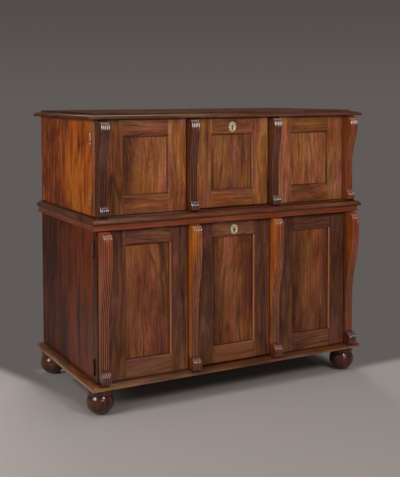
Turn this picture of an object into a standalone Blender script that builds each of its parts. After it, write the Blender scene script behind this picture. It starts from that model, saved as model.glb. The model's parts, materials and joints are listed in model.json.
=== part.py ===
"""Collectors cabinet in two stages on bun feet: panelled doors and fall fronts between reeded pilasters.

Metres, +Z up. The front faces -Y, and the origin is the middle of the floor under the cabinet.
"""

import math
from collections import namedtuple

import bmesh
import bpy

# Carcass; the depth is the upper stage's, and the lower stage steps out in front of it
CARCASS_WIDTH = 1.190
CARCASS_DEPTH = 0.627
LOWER_STEP = 0.014
SIDE_THICKNESS = 0.022
DIVIDER_THICKNESS = 0.018
BACK_THICKNESS = 0.010
BACK_RABBET = 0.010

# Heights, from the floor up
FOOT_HEIGHT = 0.1025
BASE_THICKNESS = 0.0225
LOWER_HEIGHT = 0.5795
BAND_THICKNESS = 0.025
LIP_THICKNESS = 0.0255
UPPER_HEIGHT = 0.365
TOP_THICKNESS = 0.0245

# How far each moulded board stands out past the carcass side and its own stage's door face
TOP_SIDE_REACH = 0.035
TOP_FRONT_REACH = 0.038
TOP_THUMB = 0.036
TOP_QUIRK = 0.007
LIP_SIDE_REACH = 0.024
LIP_FRONT_REACH = 0.036
LIP_THUMB = 0.022
LIP_QUIRK = 0.004
BAND_SIDE_REACH = 0.018
BAND_FRONT_REACH = 0.022
BAND_BEAD = 0.003
BAND_FILLET = 0.006
BASE_SIDE_REACH = 0.028
BASE_FRONT_REACH = 0.026
BASE_THUMB = 0.018
EDGE_FLAT = 0.003
BASE_EDGE_FLAT = 0.006
EDGE_CHAMFER = 0.003

# Doors and fall fronts
DOOR_THICKNESS = 0.027
DOOR_GAP = 0.0015
PANEL_OPENING_WIDTH = 0.187
UPPER_TOP_RAIL = 0.069
UPPER_BOTTOM_RAIL = 0.073
LOWER_TOP_RAIL = 0.066
LOWER_BOTTOM_RAIL = 0.0735
PANEL_THICKNESS = 0.009
PANEL_SETBACK = 0.010
PANEL_GROOVE = 0.010
OVOLO = 0.007
OVOLO_QUIRK = 0.0015

# Pilasters
PILASTER_WIDTH = 0.036
CORNER_MARGIN = 0.005
REED_COUNT = 5
UPPER_SHAFT_REACH = 0.027
LOWER_SHAFT_REACH = 0.018
UPPER_HEAD_REACH = 0.051
LOWER_HEAD_REACH = 0.052
OUTER_HEAD_EXTRA = 0.011
HEAD_TUCK = 0.018
HEAD_ROUND = 0.026
UPPER_TAPER_START = 0.036
UPPER_TAPER_END = 0.205
LOWER_TAPER_START = 0.085
LOWER_TAPER_END = 0.370
UPPER_ROLL_REACH = 0.046
LOWER_ROLL_REACH = 0.047
UPPER_ROLL_HEIGHT = 0.040
LOWER_ROLL_HEIGHT = 0.050
ROLL_TUCK = 0.012

# Bun feet
FOOT_RADIUS = 0.0525
FOOT_NECK_RADIUS = 0.047
FOOT_NECK_HEIGHT = 0.026
FOOT_NECK_BULGE = 0.005
FOOT_SHOULDER_RADIUS = 0.0435
FOOT_SOLE_RADIUS = 0.012
FOOT_FRONT_INSET = 0.008
SPIGOT_RADIUS = 0.011
SPIGOT_LENGTH = 0.015

# Butt hinges of the side doors
UPPER_HINGE_LENGTH = 0.046
LOWER_HINGE_LENGTH = 0.065
HINGE_BOTTOM_INSET = 0.057
HINGE_TOP_INSET = 0.073
LEAF_WIDTH = 0.016
LEAF_THICKNESS = 0.0016
BARREL_RADIUS = 0.0036
HINGE_PIN_RADIUS = 0.0016

# Pivot pins of the fall fronts
PIVOT_INSET = 0.008
PIVOT_RADIUS = 0.0025
PIVOT_DEPTH = 0.012

# Locks and escutcheons
LOCK_WIDTH = 0.056
LOCK_HEIGHT = 0.052
LOCK_THICKNESS = 0.012
BOLT_WIDTH = 0.020
BOLT_THICKNESS = 0.005
BOLT_LENGTH = 0.024
BOLT_THROW = 0.008
BOLT_SINK = 0.0005
ESCUTCHEON_WIDTH = 0.037
ESCUTCHEON_HEIGHT = 0.043
ESCUTCHEON_THICKNESS = 0.0025
ESCUTCHEON_LOBES = 8
ESCUTCHEON_SCALLOP = 0.0012
UPPER_ESCUTCHEON_DROP = 0.038
LOWER_ESCUTCHEON_DROP = 0.036
KEYHOLE_RADIUS = 0.0036
KEYHOLE_SLOT_WIDTH = 0.0034
KEYHOLE_SLOT_LENGTH = 0.012

# Shelves of the lower stage
SHELF_THICKNESS = 0.016
SHELF_RISE = 0.285
SHELF_SETBACK = 0.012
SHELF_HOUSING = 0.006

# Clearances
SEAT = 0.0003
OVERCUT = 0.004
WELD_DISTANCE = 0.00005

# Smoothness of the round forms
SMOOTH_ANGLE = math.radians(35)
REED_FACES = 4
ARC_STEPS = 5
ROLL_STEPS = 6
TAPER_STEPS = 6
HEAD_STEPS = 4
FOOT_SIDES = 24
BUN_STEPS = 9
NECK_STEPS = 4
LOBE_STEPS = 6
PIN_SIDES = 12

# Places worked out from the sizes
BASE_Z = FOOT_HEIGHT
LOWER_Z = BASE_Z + BASE_THICKNESS
BAND_Z = LOWER_Z + LOWER_HEIGHT
LIP_Z = BAND_Z + BAND_THICKNESS
UPPER_Z = LIP_Z + LIP_THICKNESS
TOP_Z = UPPER_Z + UPPER_HEIGHT
HALF = CARCASS_WIDTH / 2
UPPER_REACH = max(TOP_FRONT_REACH, UPPER_HEAD_REACH + OUTER_HEAD_EXTRA)
LOWER_REACH = max(LIP_FRONT_REACH, BASE_FRONT_REACH, LOWER_HEAD_REACH + OUTER_HEAD_EXTRA)
FRONT_REACH = max(UPPER_REACH, LOWER_STEP + LOWER_REACH)
BACK_Y = (CARCASS_DEPTH + FRONT_REACH) / 2
UPPER_FACE_Y = BACK_Y - CARCASS_DEPTH
LOWER_FACE_Y = UPPER_FACE_Y - LOWER_STEP
HINGE_X = HALF + BARREL_RADIUS + SEAT
REED_RADIUS = PILASTER_WIDTH / REED_COUNT / 2
BAY_WIDTH = (CARCASS_WIDTH - 2 * CORNER_MARGIN - 4 * PILASTER_WIDTH) / 3
INNER_NEAR = BAY_WIDTH / 2
INNER_FAR = INNER_NEAR + PILASTER_WIDTH
INNER_MIDDLE = INNER_NEAR + PILASTER_WIDTH / 2
OUTER_NEAR = INNER_FAR + BAY_WIDTH
SIDE_OPENING_MIDDLE = INNER_FAR + BAY_WIDTH / 2
BACK_BOARD_Y = BACK_Y - BACK_THICKNESS
SIDES = (("left", -1), ("right", 1))

Stage = namedtuple(
    "Stage",
    "name low high face top_rail bottom_rail shaft head taper_start taper_end roll roll_height"
    " hinge_length drop",
)
UPPER = Stage(
    "upper", UPPER_Z, TOP_Z, UPPER_FACE_Y, UPPER_TOP_RAIL, UPPER_BOTTOM_RAIL, UPPER_SHAFT_REACH,
    UPPER_HEAD_REACH, UPPER_TAPER_START, UPPER_TAPER_END, UPPER_ROLL_REACH,
    UPPER_ROLL_HEIGHT, UPPER_HINGE_LENGTH, UPPER_ESCUTCHEON_DROP,
)
LOWER = Stage(
    "lower", LOWER_Z, BAND_Z, LOWER_FACE_Y, LOWER_TOP_RAIL, LOWER_BOTTOM_RAIL, LOWER_SHAFT_REACH,
    LOWER_HEAD_REACH, LOWER_TAPER_START, LOWER_TAPER_END, LOWER_ROLL_REACH,
    LOWER_ROLL_HEIGHT, LOWER_HINGE_LENGTH, LOWER_ESCUTCHEON_DROP,
)


def clear_scene():
    for old in list(bpy.data.objects):
        bpy.data.objects.remove(old)


def new_collection(name):
    group = bpy.data.collections.new(name)
    bpy.context.scene.collection.children.link(group)
    return group


def new_material(name, colour, roughness, metallic):
    """Principled finish; the colour is given as screen values from 0 to 255."""
    finish = bpy.data.materials.new(name)
    finish.use_nodes = True
    shader = finish.node_tree.nodes["Principled BSDF"]
    linear = [((value / 255 + 0.055) / 1.055) ** 2.4 for value in colour]
    shader.inputs["Base Color"].default_value = (*linear, 1)
    shader.inputs["Roughness"].default_value = roughness
    shader.inputs["Metallic"].default_value = metallic
    return finish


clear_scene()
PARTS = new_collection("collectors_cabinet")
CUTTERS = new_collection("cutters")
CUTTERS.hide_render = True
ROSEWOOD = new_material("rosewood", (112, 62, 36), 0.35, 0)
DARK_ROSEWOOD = new_material("dark_rosewood", (84, 46, 30), 0.35, 0)
PINE = new_material("pine", (150, 112, 72), 0.6, 0)
BONE = new_material("bone", (206, 194, 160), 0.5, 0)
BRASS = new_material("brass", (150, 112, 60), 0.4, 1)


def finish_mesh(shape, name):
    """Turns a bmesh into a mesh with outward faces and soft round parts."""
    bmesh.ops.recalc_face_normals(shape, faces=shape.faces)
    if shape.calc_volume(signed=True) < 0:
        bmesh.ops.reverse_faces(shape, faces=shape.faces)
    mesh = bpy.data.meshes.new(name)
    shape.to_mesh(mesh)
    shape.free()
    mesh.shade_smooth()
    mesh.set_sharp_from_angle(angle=SMOOTH_ANGLE)
    return mesh


def add_part(name, shape, finish, carrier=None):
    """One piece. A moving piece hangs on an empty that stands on its joint axis."""
    part = bpy.data.objects.new(name, finish_mesh(shape, name))
    part.data.materials.append(finish)
    PARTS.objects.link(part)
    if carrier:
        part.parent = carrier
        part.location = -carrier.location
    return part


def add_cutter(name, shape):
    cutter = bpy.data.objects.new(name, finish_mesh(shape, name))
    cutter.hide_render = True
    cutter.display_type = "WIRE"
    CUTTERS.objects.link(cutter)
    return cutter


def combine(part, operation, name, shape):
    step = part.modifiers.new(name, "BOOLEAN")
    step.operation = operation
    step.object = add_cutter(part.name + "_" + name, shape)


def cut(part, name, shape):
    combine(part, "DIFFERENCE", name, shape)


def join(part, name, shape):
    combine(part, "UNION", name, shape)


def box(x, y, z):
    """Box between the given pairs of limits; a pair may be given either way round."""
    shape = bmesh.new()
    corners = bmesh.ops.create_cube(shape, size=1)["verts"]
    for corner in corners:
        corner.co.x = max(x) if corner.co.x > 0 else min(x)
        corner.co.y = max(y) if corner.co.y > 0 else min(y)
        corner.co.z = max(z) if corner.co.z > 0 else min(z)
    return shape


def rod(radius, axis, start, end, sides=PIN_SIDES):
    """Round bar along X, Y or Z between two points that differ along that axis."""
    shape = bmesh.new()
    index = "XYZ".index(axis)
    length = abs(end[index] - start[index])
    bmesh.ops.create_cone(
        shape, cap_ends=True, segments=sides, radius1=radius, radius2=radius, depth=length
    )
    middle = [(a + b) / 2 for a, b in zip(start, end)]
    for corner in shape.verts:
        across, along, rise = corner.co
        turned = {"X": (rise, across, along), "Y": (along, rise, across), "Z": (across, along, rise)}[axis]
        corner.co = [place + offset for place, offset in zip(middle, turned)]
    return shape


def loft(rings):
    """Closed solid through rings that have the same number of points, with flat ends."""
    shape = bmesh.new()
    loops = [[shape.verts.new(point) for point in ring] for ring in rings]
    for first, second in zip(loops, loops[1:]):
        for i in range(len(first)):
            after = (i + 1) % len(first)
            shape.faces.new((first[i], first[after], second[after], second[i]))
    shape.faces.new(loops[0])
    shape.faces.new(loops[-1])
    return shape


def empty_at(name, place):
    empty = bpy.data.objects.new(name, None)
    empty.location = place
    PARTS.objects.link(empty)
    return empty


def quarter(steps=ARC_STEPS):
    return [math.pi / 2 * i / steps for i in range(steps + 1)]


# Moulded boards


def moulded_board(name, front, side, levels, finish):
    """Board with one moulding round its front edge and its sides: levels are (inset, height)."""
    rings = []
    for inset, z in levels:
        half = HALF + side - inset
        near = front + inset
        rings.append([(-half, near, z), (half, near, z), (half, BACK_Y, z), (-half, BACK_Y, z)])
    return add_part(name, loft(rings), finish)


def thumb_levels(low, high, width, quirk, flat=EDGE_FLAT):
    """Thumb moulding: chamfered under-edge, a short flat, then a quarter oval up to the flat top."""
    tip = low + EDGE_CHAMFER + flat
    crown = high - quirk
    levels = [(EDGE_CHAMFER, low), (0, low + EDGE_CHAMFER)]
    for angle in quarter():
        levels.append((width * (1 - math.cos(angle)), tip + (crown - tip) * math.sin(angle)))
    if quirk:
        levels.append((width, high))
    return levels


def make_boards():
    top_levels = thumb_levels(TOP_Z, TOP_Z + TOP_THICKNESS, TOP_THUMB, TOP_QUIRK)
    top = moulded_board("top_board", UPPER_FACE_Y - TOP_FRONT_REACH, TOP_SIDE_REACH, top_levels, ROSEWOOD)
    lip_levels = thumb_levels(LIP_Z + SEAT, UPPER_Z, LIP_THUMB, LIP_QUIRK)
    lip_front = LOWER_FACE_Y - LIP_FRONT_REACH
    moulded_board("waist_lip_board", lip_front, LIP_SIDE_REACH, lip_levels, ROSEWOOD)
    band_top = LIP_Z
    band_levels = [
        (BAND_BEAD, BAND_Z),
        (0, BAND_Z + BAND_BEAD),
        (0, BAND_Z + 2 * BAND_BEAD),
        (BAND_BEAD, BAND_Z + 3 * BAND_BEAD),
        (BAND_BEAD, band_top - BAND_FILLET),
        (0, band_top - BAND_FILLET + BAND_BEAD),
        (0, band_top),
    ]
    band_front = LOWER_FACE_Y - BAND_FRONT_REACH
    band = moulded_board("waist_band_board", band_front, BAND_SIDE_REACH, band_levels, DARK_ROSEWOOD)
    base_levels = thumb_levels(BASE_Z, LOWER_Z, BASE_THUMB, 0, BASE_EDGE_FLAT)
    base_front = LOWER_FACE_Y - BASE_FRONT_REACH
    base = moulded_board("base_board", base_front, BASE_SIDE_REACH, base_levels, ROSEWOOD)
    for board, stage in ((top, UPPER), (band, LOWER)):
        mortise = bolt_space(stage, stage.high - OVERCUT, stage.high + BOLT_THROW + SEAT, 2 * SEAT)
        cut(board, "bolt_mortise", mortise)
    for number, (x, y) in enumerate(foot_places()):
        bottom = (x, y, BASE_Z - OVERCUT)
        top_end = (x, y, BASE_Z + SPIGOT_LENGTH + SEAT)
        cut(base, f"spigot_hole_{number}", rod(SPIGOT_RADIUS + SEAT, "Z", bottom, top_end, FOOT_SIDES))


# Bun feet


def foot_places():
    x = HALF + BASE_SIDE_REACH - FOOT_RADIUS
    front = LOWER_FACE_Y - BASE_FRONT_REACH + FOOT_RADIUS + FOOT_FRONT_INSET
    rear = BACK_Y - FOOT_RADIUS
    return [(-x, front), (x, front), (-x, rear), (x, rear)]


def foot_profile():
    """Outer side of the turned foot, from the top of its spigot down to the sole."""
    neck_top = FOOT_HEIGHT - SEAT
    bun_top = FOOT_HEIGHT - FOOT_NECK_HEIGHT
    points = [
        (0, neck_top + SPIGOT_LENGTH),
        (SPIGOT_RADIUS, neck_top + SPIGOT_LENGTH),
        (SPIGOT_RADIUS, neck_top),
    ]
    neck_middle = (neck_top + bun_top) / 2
    for i in range(NECK_STEPS + 1):
        angle = math.pi * (0.5 - i / NECK_STEPS)
        radius = FOOT_NECK_RADIUS - FOOT_NECK_BULGE * (1 - math.cos(angle))
        points.append((radius, neck_middle + (neck_top - bun_top) / 2 * math.sin(angle)))
    upper_angle = math.acos(FOOT_SHOULDER_RADIUS / FOOT_RADIUS)
    lower_angle = -math.acos(FOOT_SOLE_RADIUS / FOOT_RADIUS)
    half_height = bun_top / (math.sin(upper_angle) - math.sin(lower_angle))
    middle = -half_height * math.sin(lower_angle)
    for i in range(BUN_STEPS + 1):
        angle = upper_angle + (lower_angle - upper_angle) * i / BUN_STEPS
        points.append((FOOT_RADIUS * math.cos(angle), middle + half_height * math.sin(angle)))
    return points + [(0, 0)]


def make_feet():
    names = ("front_left_foot", "front_right_foot", "rear_left_foot", "rear_right_foot")
    for name, (x, y) in zip(names, foot_places()):
        outline = bmesh.new()
        corners = [outline.verts.new((radius, 0, z)) for radius, z in foot_profile()]
        for first, second in zip(corners, corners[1:]):
            outline.edges.new((first, second))
        foot = add_part(name, outline, DARK_ROSEWOOD)
        foot.location = (x, y, 0)
        turn = foot.modifiers.new("turned", "SCREW")
        turn.axis = "Z"
        turn.steps = FOOT_SIDES
        turn.render_steps = FOOT_SIDES
        turn.use_merge_vertices = True
        turn.merge_threshold = WELD_DISTANCE


# Planes behind the door face of a stage


def door_back(stage):
    return stage.face + DOOR_THICKNESS


def carcass_front(stage):
    return door_back(stage) + DOOR_GAP


def hinge_depth(stage):
    return door_back(stage) + DOOR_GAP / 2


# Carcass boards


def shelf_height():
    return LOWER_Z + SHELF_RISE


def shelf_housing(x):
    """Groove that takes a shelf end, between two X limits."""
    low = shelf_height() - SEAT
    high = shelf_height() + SHELF_THICKNESS + SEAT
    front = carcass_front(LOWER) + SHELF_SETBACK
    return box(x, (front - SEAT, BACK_Y + OVERCUT), (low, high))


def make_carcass(stage):
    low = stage.low + SEAT
    high = stage.high - SEAT
    front = carcass_front(stage)
    inner = HALF - SIDE_THICKNESS
    rabbet_x = inner + BACK_RABBET
    for side, sign in SIDES:
        board = add_part(
            f"{stage.name}_{side}_side",
            box((sign * HALF, sign * inner), (front, BACK_Y), (low, high)),
            ROSEWOOD,
        )
        rabbet = box(
            (sign * (inner - OVERCUT), sign * (rabbet_x + SEAT)),
            (BACK_BOARD_Y - SEAT, BACK_Y + OVERCUT),
            (low - OVERCUT, high + OVERCUT),
        )
        cut(board, "back_rabbet", rabbet)
        for place, middle in hinge_places(stage):
            cut(board, f"{place}_hinge_mortise", hinge_mortise(stage, sign, middle))
        divider = add_part(
            f"{stage.name}_{side}_divider",
            box(
                (sign * INNER_MIDDLE - DIVIDER_THICKNESS / 2, sign * INNER_MIDDLE + DIVIDER_THICKNESS / 2),
                (front, BACK_BOARD_Y - SEAT),
                (low, high),
            ),
            PINE,
        )
        if stage is LOWER:
            housing = shelf_housing((sign * (inner - OVERCUT), sign * (inner + SHELF_HOUSING)))
            cut(board, "shelf_housing", housing)
            for face in (-1, 1):
                skin = sign * INNER_MIDDLE + face * DIVIDER_THICKNESS / 2
                cut(
                    divider,
                    "shelf_housing_" + ("a" if face < 0 else "b"),
                    shelf_housing((skin + face * OVERCUT, skin - face * SHELF_HOUSING)),
                )
    add_part(
        f"{stage.name}_back_board",
        box((-rabbet_x, rabbet_x), (BACK_BOARD_Y, BACK_Y), (low, high)),
        PINE,
    )


def make_shelves():
    divider_far = INNER_MIDDLE + DIVIDER_THICKNESS / 2 - SHELF_HOUSING + SEAT
    divider_near = INNER_MIDDLE - DIVIDER_THICKNESS / 2 + SHELF_HOUSING - SEAT
    side_end = HALF - SIDE_THICKNESS + SHELF_HOUSING - SEAT
    spans = (
        ("left", (-side_end, -divider_far)),
        ("centre", (-divider_near, divider_near)),
        ("right", (divider_far, side_end)),
    )
    depth = (carcass_front(LOWER) + SHELF_SETBACK, BACK_BOARD_Y - SEAT)
    rise = (shelf_height(), shelf_height() + SHELF_THICKNESS)
    for place, span in spans:
        add_part(f"lower_{place}_shelf", box(span, depth, rise), PINE)


# Reeded scroll pilasters


def pilaster_stations(stage, head, low, high):
    """(height, projection) pairs up the front: roll foot, straight shaft, curved taper and rounded head."""
    roll_middle = low + stage.roll_height / 2
    stations = []
    for angle in [math.pi * (i / ROLL_STEPS - 0.5) for i in range(ROLL_STEPS + 1)]:
        tuck = ROLL_TUCK if angle < 0 else stage.roll - stage.shaft
        reach = stage.roll - tuck * (1 - math.cos(angle))
        stations.append((roll_middle + stage.roll_height / 2 * math.sin(angle), reach))
    taper_low = stage.high - stage.taper_end
    taper_high = stage.high - stage.taper_start
    for i in range(TAPER_STEPS + 1):
        share = i / TAPER_STEPS
        reach = stage.shaft + (head - stage.shaft) * (0.5 - 0.5 * math.cos(math.pi * share))
        stations.append((taper_low + (taper_high - taper_low) * share, reach))
    for angle in quarter(HEAD_STEPS)[1:]:
        reach = HEAD_TUCK + (head - HEAD_TUCK) * math.cos(angle)
        stations.append((high - HEAD_ROUND + HEAD_ROUND * math.sin(angle), reach))
    return stations


def reeded_ring(left, back, front, z):
    """Section of a pilaster: flat back and sides, and half-round reeds across the front."""
    valley = front + REED_RADIUS
    ring = [(left, back, z)]
    for reed in range(REED_COUNT):
        middle = left + REED_RADIUS * (2 * reed + 1)
        for i in range(REED_FACES):
            angle = math.pi * i / REED_FACES
            ring.append((middle - REED_RADIUS * math.cos(angle), valley - REED_RADIUS * math.sin(angle), z))
    ring.append((left + PILASTER_WIDTH, valley, z))
    ring.append((left + PILASTER_WIDTH, back, z))
    return ring


def pilaster(stage, head, left, back, gap):
    low = stage.low + gap
    high = stage.high - gap
    stations = pilaster_stations(stage, head, low, high)
    return loft([reeded_ring(left, back, stage.face - reach, z) for z, reach in stations])


def make_inner_pilasters(stage):
    """Fixed posts in the plane of the doors, one in front of each divider."""
    for side, sign in SIDES:
        left = sign * INNER_MIDDLE - PILASTER_WIDTH / 2
        post = add_part(
            f"{stage.name}_{side}_inner_pilaster",
            pilaster(stage, stage.head, left, carcass_front(stage) - SEAT, SEAT),
            DARK_ROSEWOOD,
        )
        cut(post, "pivot_hole", pivot_rod(stage, sign, PIVOT_RADIUS + SEAT, PIVOT_DEPTH + SEAT))


# Door and flap frames


def door_limits(stage):
    return stage.low + DOOR_GAP, stage.high - DOOR_GAP


def opening_limits(stage, middle):
    across = (middle - PANEL_OPENING_WIDTH / 2, middle + PANEL_OPENING_WIDTH / 2)
    return across, (stage.low + stage.bottom_rail, stage.high - stage.top_rail)


def opening_ring(across, rise, grow, y):
    (left, right), (low, high) = across, rise
    return [
        (left - grow, y, low - grow),
        (right + grow, y, low - grow),
        (right + grow, y, high + grow),
        (left - grow, y, high + grow),
    ]


def panelled_frame(frame, stage, middle):
    """Cuts the opening with its ovolo edge, and the groove that holds the panel."""
    across, rise = opening_limits(stage, middle)
    rings = [opening_ring(across, rise, OVOLO, stage.face - OVERCUT)]
    for angle in quarter():
        grow = OVOLO * (1 - math.sin(angle))
        depth = OVOLO_QUIRK + OVOLO * (1 - math.cos(angle))
        rings.append(opening_ring(across, rise, grow, stage.face + depth))
    rings.append(opening_ring(across, rise, 0, door_back(stage) + OVERCUT))
    cut(frame, "opening", loft(rings))
    cut(frame, "panel_groove", panel_slab(stage, middle, PANEL_GROOVE, SEAT))


def panel_slab(stage, middle, grow, clearance):
    """Slab behind the opening: larger all round by grow, and thicker on each face by the clearance."""
    (left, right), (low, high) = opening_limits(stage, middle)
    front = stage.face + PANEL_SETBACK
    return box(
        (left - grow, right + grow),
        (front - clearance, front + PANEL_THICKNESS + clearance),
        (low - grow, high + grow),
    )


def panel_shape(stage, middle):
    return panel_slab(stage, middle, PANEL_GROOVE - SEAT, 0)


# Butt hinges


def hinge_places(stage):
    return (("bottom", stage.low + HINGE_BOTTOM_INSET), ("top", stage.high - HINGE_TOP_INSET))


def hinge_mortise(stage, sign, middle):
    """Recess in the front edge of the side board for the fixed leaf."""
    half = stage.hinge_length / 2 + SEAT
    front = carcass_front(stage)
    return box(
        (sign * (HALF + OVERCUT), sign * (HALF - LEAF_WIDTH - SEAT)),
        (front - OVERCUT, front + LEAF_THICKNESS + SEAT),
        (middle - half, middle + half),
    )


def hinge_rod(stage, sign, radius, low, high):
    place = (sign * HINGE_X, hinge_depth(stage))
    return rod(radius, "Z", (*place, low), (*place, high))


def make_fixed_leaf(stage, side, sign, place, middle):
    """Leaf on the carcass, with its two outer barrels and the pin."""
    half = stage.hinge_length / 2
    third = half / 3
    front = carcass_front(stage)
    leaf = add_part(
        f"{stage.name}_{side}_{place}_hinge",
        box(
            (sign * HINGE_X, sign * (HALF - LEAF_WIDTH)),
            (front, front + LEAF_THICKNESS),
            (middle - half, middle + half),
        ),
        BRASS,
    )
    cut(leaf, "barrel_room", hinge_rod(stage, sign, BARREL_RADIUS + SEAT, middle - third, middle + third))
    join(leaf, "lower_barrel", hinge_rod(stage, sign, BARREL_RADIUS, middle - half, middle - third))
    join(leaf, "upper_barrel", hinge_rod(stage, sign, BARREL_RADIUS, middle + third, middle + half))
    join(leaf, "pin", hinge_rod(stage, sign, HINGE_PIN_RADIUS, middle - half + SEAT, middle + half - SEAT))


def join_moving_leaf(frame, stage, sign, place, middle):
    """Middle barrel of a hinge, with the leaf that runs into the door's back edge."""
    third = stage.hinge_length / 6 - SEAT
    back = door_back(stage) - SEAT
    join(frame, f"{place}_barrel", hinge_rod(stage, sign, BARREL_RADIUS, middle - third, middle + third))
    leaf = box(
        (sign * HINGE_X, sign * (HALF - LEAF_WIDTH)),
        (back, back - LEAF_THICKNESS),
        (middle - third, middle + third),
    )
    join(frame, f"{place}_leaf", leaf)
    bore_half = third + OVERCUT
    bore = hinge_rod(stage, sign, HINGE_PIN_RADIUS + SEAT, middle - bore_half, middle + bore_half)
    cut(frame, f"{place}_bore", bore)


def make_side_doors(stage):
    low, high = door_limits(stage)
    for side, sign in SIDES:
        name = f"{stage.name}_{side}_door"
        axis = empty_at(name + "_axis", (sign * HINGE_X, hinge_depth(stage), low))
        frame = add_part(
            name + "_frame",
            box((sign * HALF, sign * (INNER_FAR + DOOR_GAP)), (stage.face, door_back(stage)), (low, high)),
            ROSEWOOD,
            axis,
        )
        panelled_frame(frame, stage, sign * SIDE_OPENING_MIDDLE)
        for place, middle in hinge_places(stage):
            make_fixed_leaf(stage, side, sign, place, middle)
            join_moving_leaf(frame, stage, sign, place, middle)
        add_part(name + "_panel", panel_shape(stage, sign * SIDE_OPENING_MIDDLE), ROSEWOOD, axis)
        left = sign * (OUTER_NEAR + PILASTER_WIDTH / 2) - PILASTER_WIDTH / 2
        add_part(
            f"{stage.name}_{side}_outer_pilaster",
            pilaster(stage, stage.head + OUTER_HEAD_EXTRA, left, stage.face - SEAT, DOOR_GAP),
            DARK_ROSEWOOD,
            axis,
        )


# Fall fronts with their pivots, locks and escutcheons


def pivot_height(stage):
    return stage.low + DOOR_GAP + PIVOT_INSET


def pivot_rod(stage, sign, radius, depth):
    """Pin across the joint between an inner pilaster and the flap edge."""
    place = (stage.face + PIVOT_INSET, pivot_height(stage))
    post_end = (sign * (INNER_NEAR + depth), *place)
    flap_end = (sign * (INNER_NEAR - DOOR_GAP - depth), *place)
    return rod(radius, "X", post_end, flap_end)


def bolt_space(stage, low, high, clearance):
    """Room round the lock bolt, between two heights."""
    half = BOLT_WIDTH / 2 + clearance
    middle = door_back(stage) - LOCK_THICKNESS / 2
    depth = BOLT_THICKNESS / 2 + clearance
    return box((-half, half), (middle - depth, middle + depth), (low, high))


def keyhole(z, front, back):
    """Round hole with a slot below it, through from front to back."""
    hole = rod(KEYHOLE_RADIUS, "Y", (0, front, z), (0, back, z))
    slot = box(
        (-KEYHOLE_SLOT_WIDTH / 2, KEYHOLE_SLOT_WIDTH / 2), (front, back), (z, z - KEYHOLE_SLOT_LENGTH)
    )
    return (("keyhole_round", hole), ("keyhole_slot", slot))


def escutcheon_shape(stage, z):
    """Thin bone plate with a scalloped oval outline."""
    points = LOBE_STEPS * ESCUTCHEON_LOBES
    rings = []
    back = stage.face - SEAT
    for y in (back, back - ESCUTCHEON_THICKNESS):
        ring = []
        for i in range(points):
            angle = 2 * math.pi * i / points
            wave = ESCUTCHEON_SCALLOP * (math.cos(ESCUTCHEON_LOBES * angle) - 1)
            across = (ESCUTCHEON_WIDTH / 2 + wave) * math.cos(angle)
            rise = (ESCUTCHEON_HEIGHT / 2 + wave) * math.sin(angle)
            ring.append((across, y, z + rise))
        rings.append(ring)
    return loft(rings)


def round_lower_edge(shape, front, low):
    """Rounds the lower front edge about the pivot, so that the flap can fall."""
    edges = [
        edge
        for edge in shape.edges
        if all(abs(corner.co.z - low) < SEAT and abs(corner.co.y - front) < SEAT for corner in edge.verts)
    ]
    bmesh.ops.bevel(
        shape, geom=edges, offset=PIVOT_INSET, segments=ARC_STEPS, affect="EDGES", profile=0.5, material=-1
    )
    return shape


def make_flap(stage):
    low, high = door_limits(stage)
    front = stage.face
    back = door_back(stage)
    half = INNER_NEAR - DOOR_GAP
    name = f"{stage.name}_flap"
    axis = empty_at(name + "_axis", (0, front + PIVOT_INSET, pivot_height(stage)))
    blank = round_lower_edge(box((-half, half), (front, back), (low, high)), front, low)
    frame = add_part(name + "_frame", blank, ROSEWOOD, axis)
    panelled_frame(frame, stage, 0)
    for side, sign in SIDES:
        add_part(
            f"{stage.name}_flap_{side}_pin", pivot_rod(stage, sign, PIVOT_RADIUS, PIVOT_DEPTH), BRASS
        )
        cut(frame, f"{side}_pivot_hole", pivot_rod(stage, sign, PIVOT_RADIUS + SEAT, PIVOT_DEPTH + SEAT))
    lock_half = LOCK_WIDTH / 2
    lock_front = back - LOCK_THICKNESS
    recess = box(
        (-lock_half - SEAT, lock_half + SEAT),
        (lock_front - SEAT, back + OVERCUT),
        (high - LOCK_HEIGHT - SEAT, high + OVERCUT),
    )
    cut(frame, "lock_recess", recess)
    add_part(name + "_panel", panel_shape(stage, 0), ROSEWOOD, axis)
    case = add_part(
        f"{stage.name}_lock_case",
        box((-lock_half, lock_half), (lock_front, back), (high - LOCK_HEIGHT, high)),
        BRASS,
        axis,
    )
    bolt_high = high - BOLT_SINK
    bolt_low = bolt_high - BOLT_LENGTH
    cut(case, "bolt_channel", bolt_space(stage, bolt_low - SEAT, high + OVERCUT, SEAT))
    bolt_axis = empty_at(f"{stage.name}_bolt_axis", (0, lock_front + LOCK_THICKNESS / 2, bolt_low))
    add_part(f"{stage.name}_lock_bolt", bolt_space(stage, bolt_low, bolt_high, 0), BRASS, bolt_axis)
    middle = stage.high - stage.drop
    plate = add_part(f"{stage.name}_escutcheon", escutcheon_shape(stage, middle), BONE, axis)
    keyhole_front = front - ESCUTCHEON_THICKNESS - OVERCUT
    for step, shape in keyhole(middle, keyhole_front, lock_front - SEAT / 2):
        cut(frame, step, shape)
    for step, shape in keyhole(middle, keyhole_front, front + OVERCUT):
        cut(plate, step, shape)


make_boards()
make_feet()
make_shelves()
for each_stage in (UPPER, LOWER):
    make_carcass(each_stage)
    make_inner_pilasters(each_stage)
    make_side_doors(each_stage)
    make_flap(each_stage)
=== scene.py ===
# %% [markdown]
# # A collectors cabinet in polished rosewood
#
# The cabinet stands in two stages on bun feet. Its doors and fall fronts sit between reeded pilasters.
# The solid model gives the true sizes, and this lesson gives every piece its finer shape and its finish.

# %% Load the solid model
import json
import math

import bmesh
import bpy
from mathutils import Matrix, Vector

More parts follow.
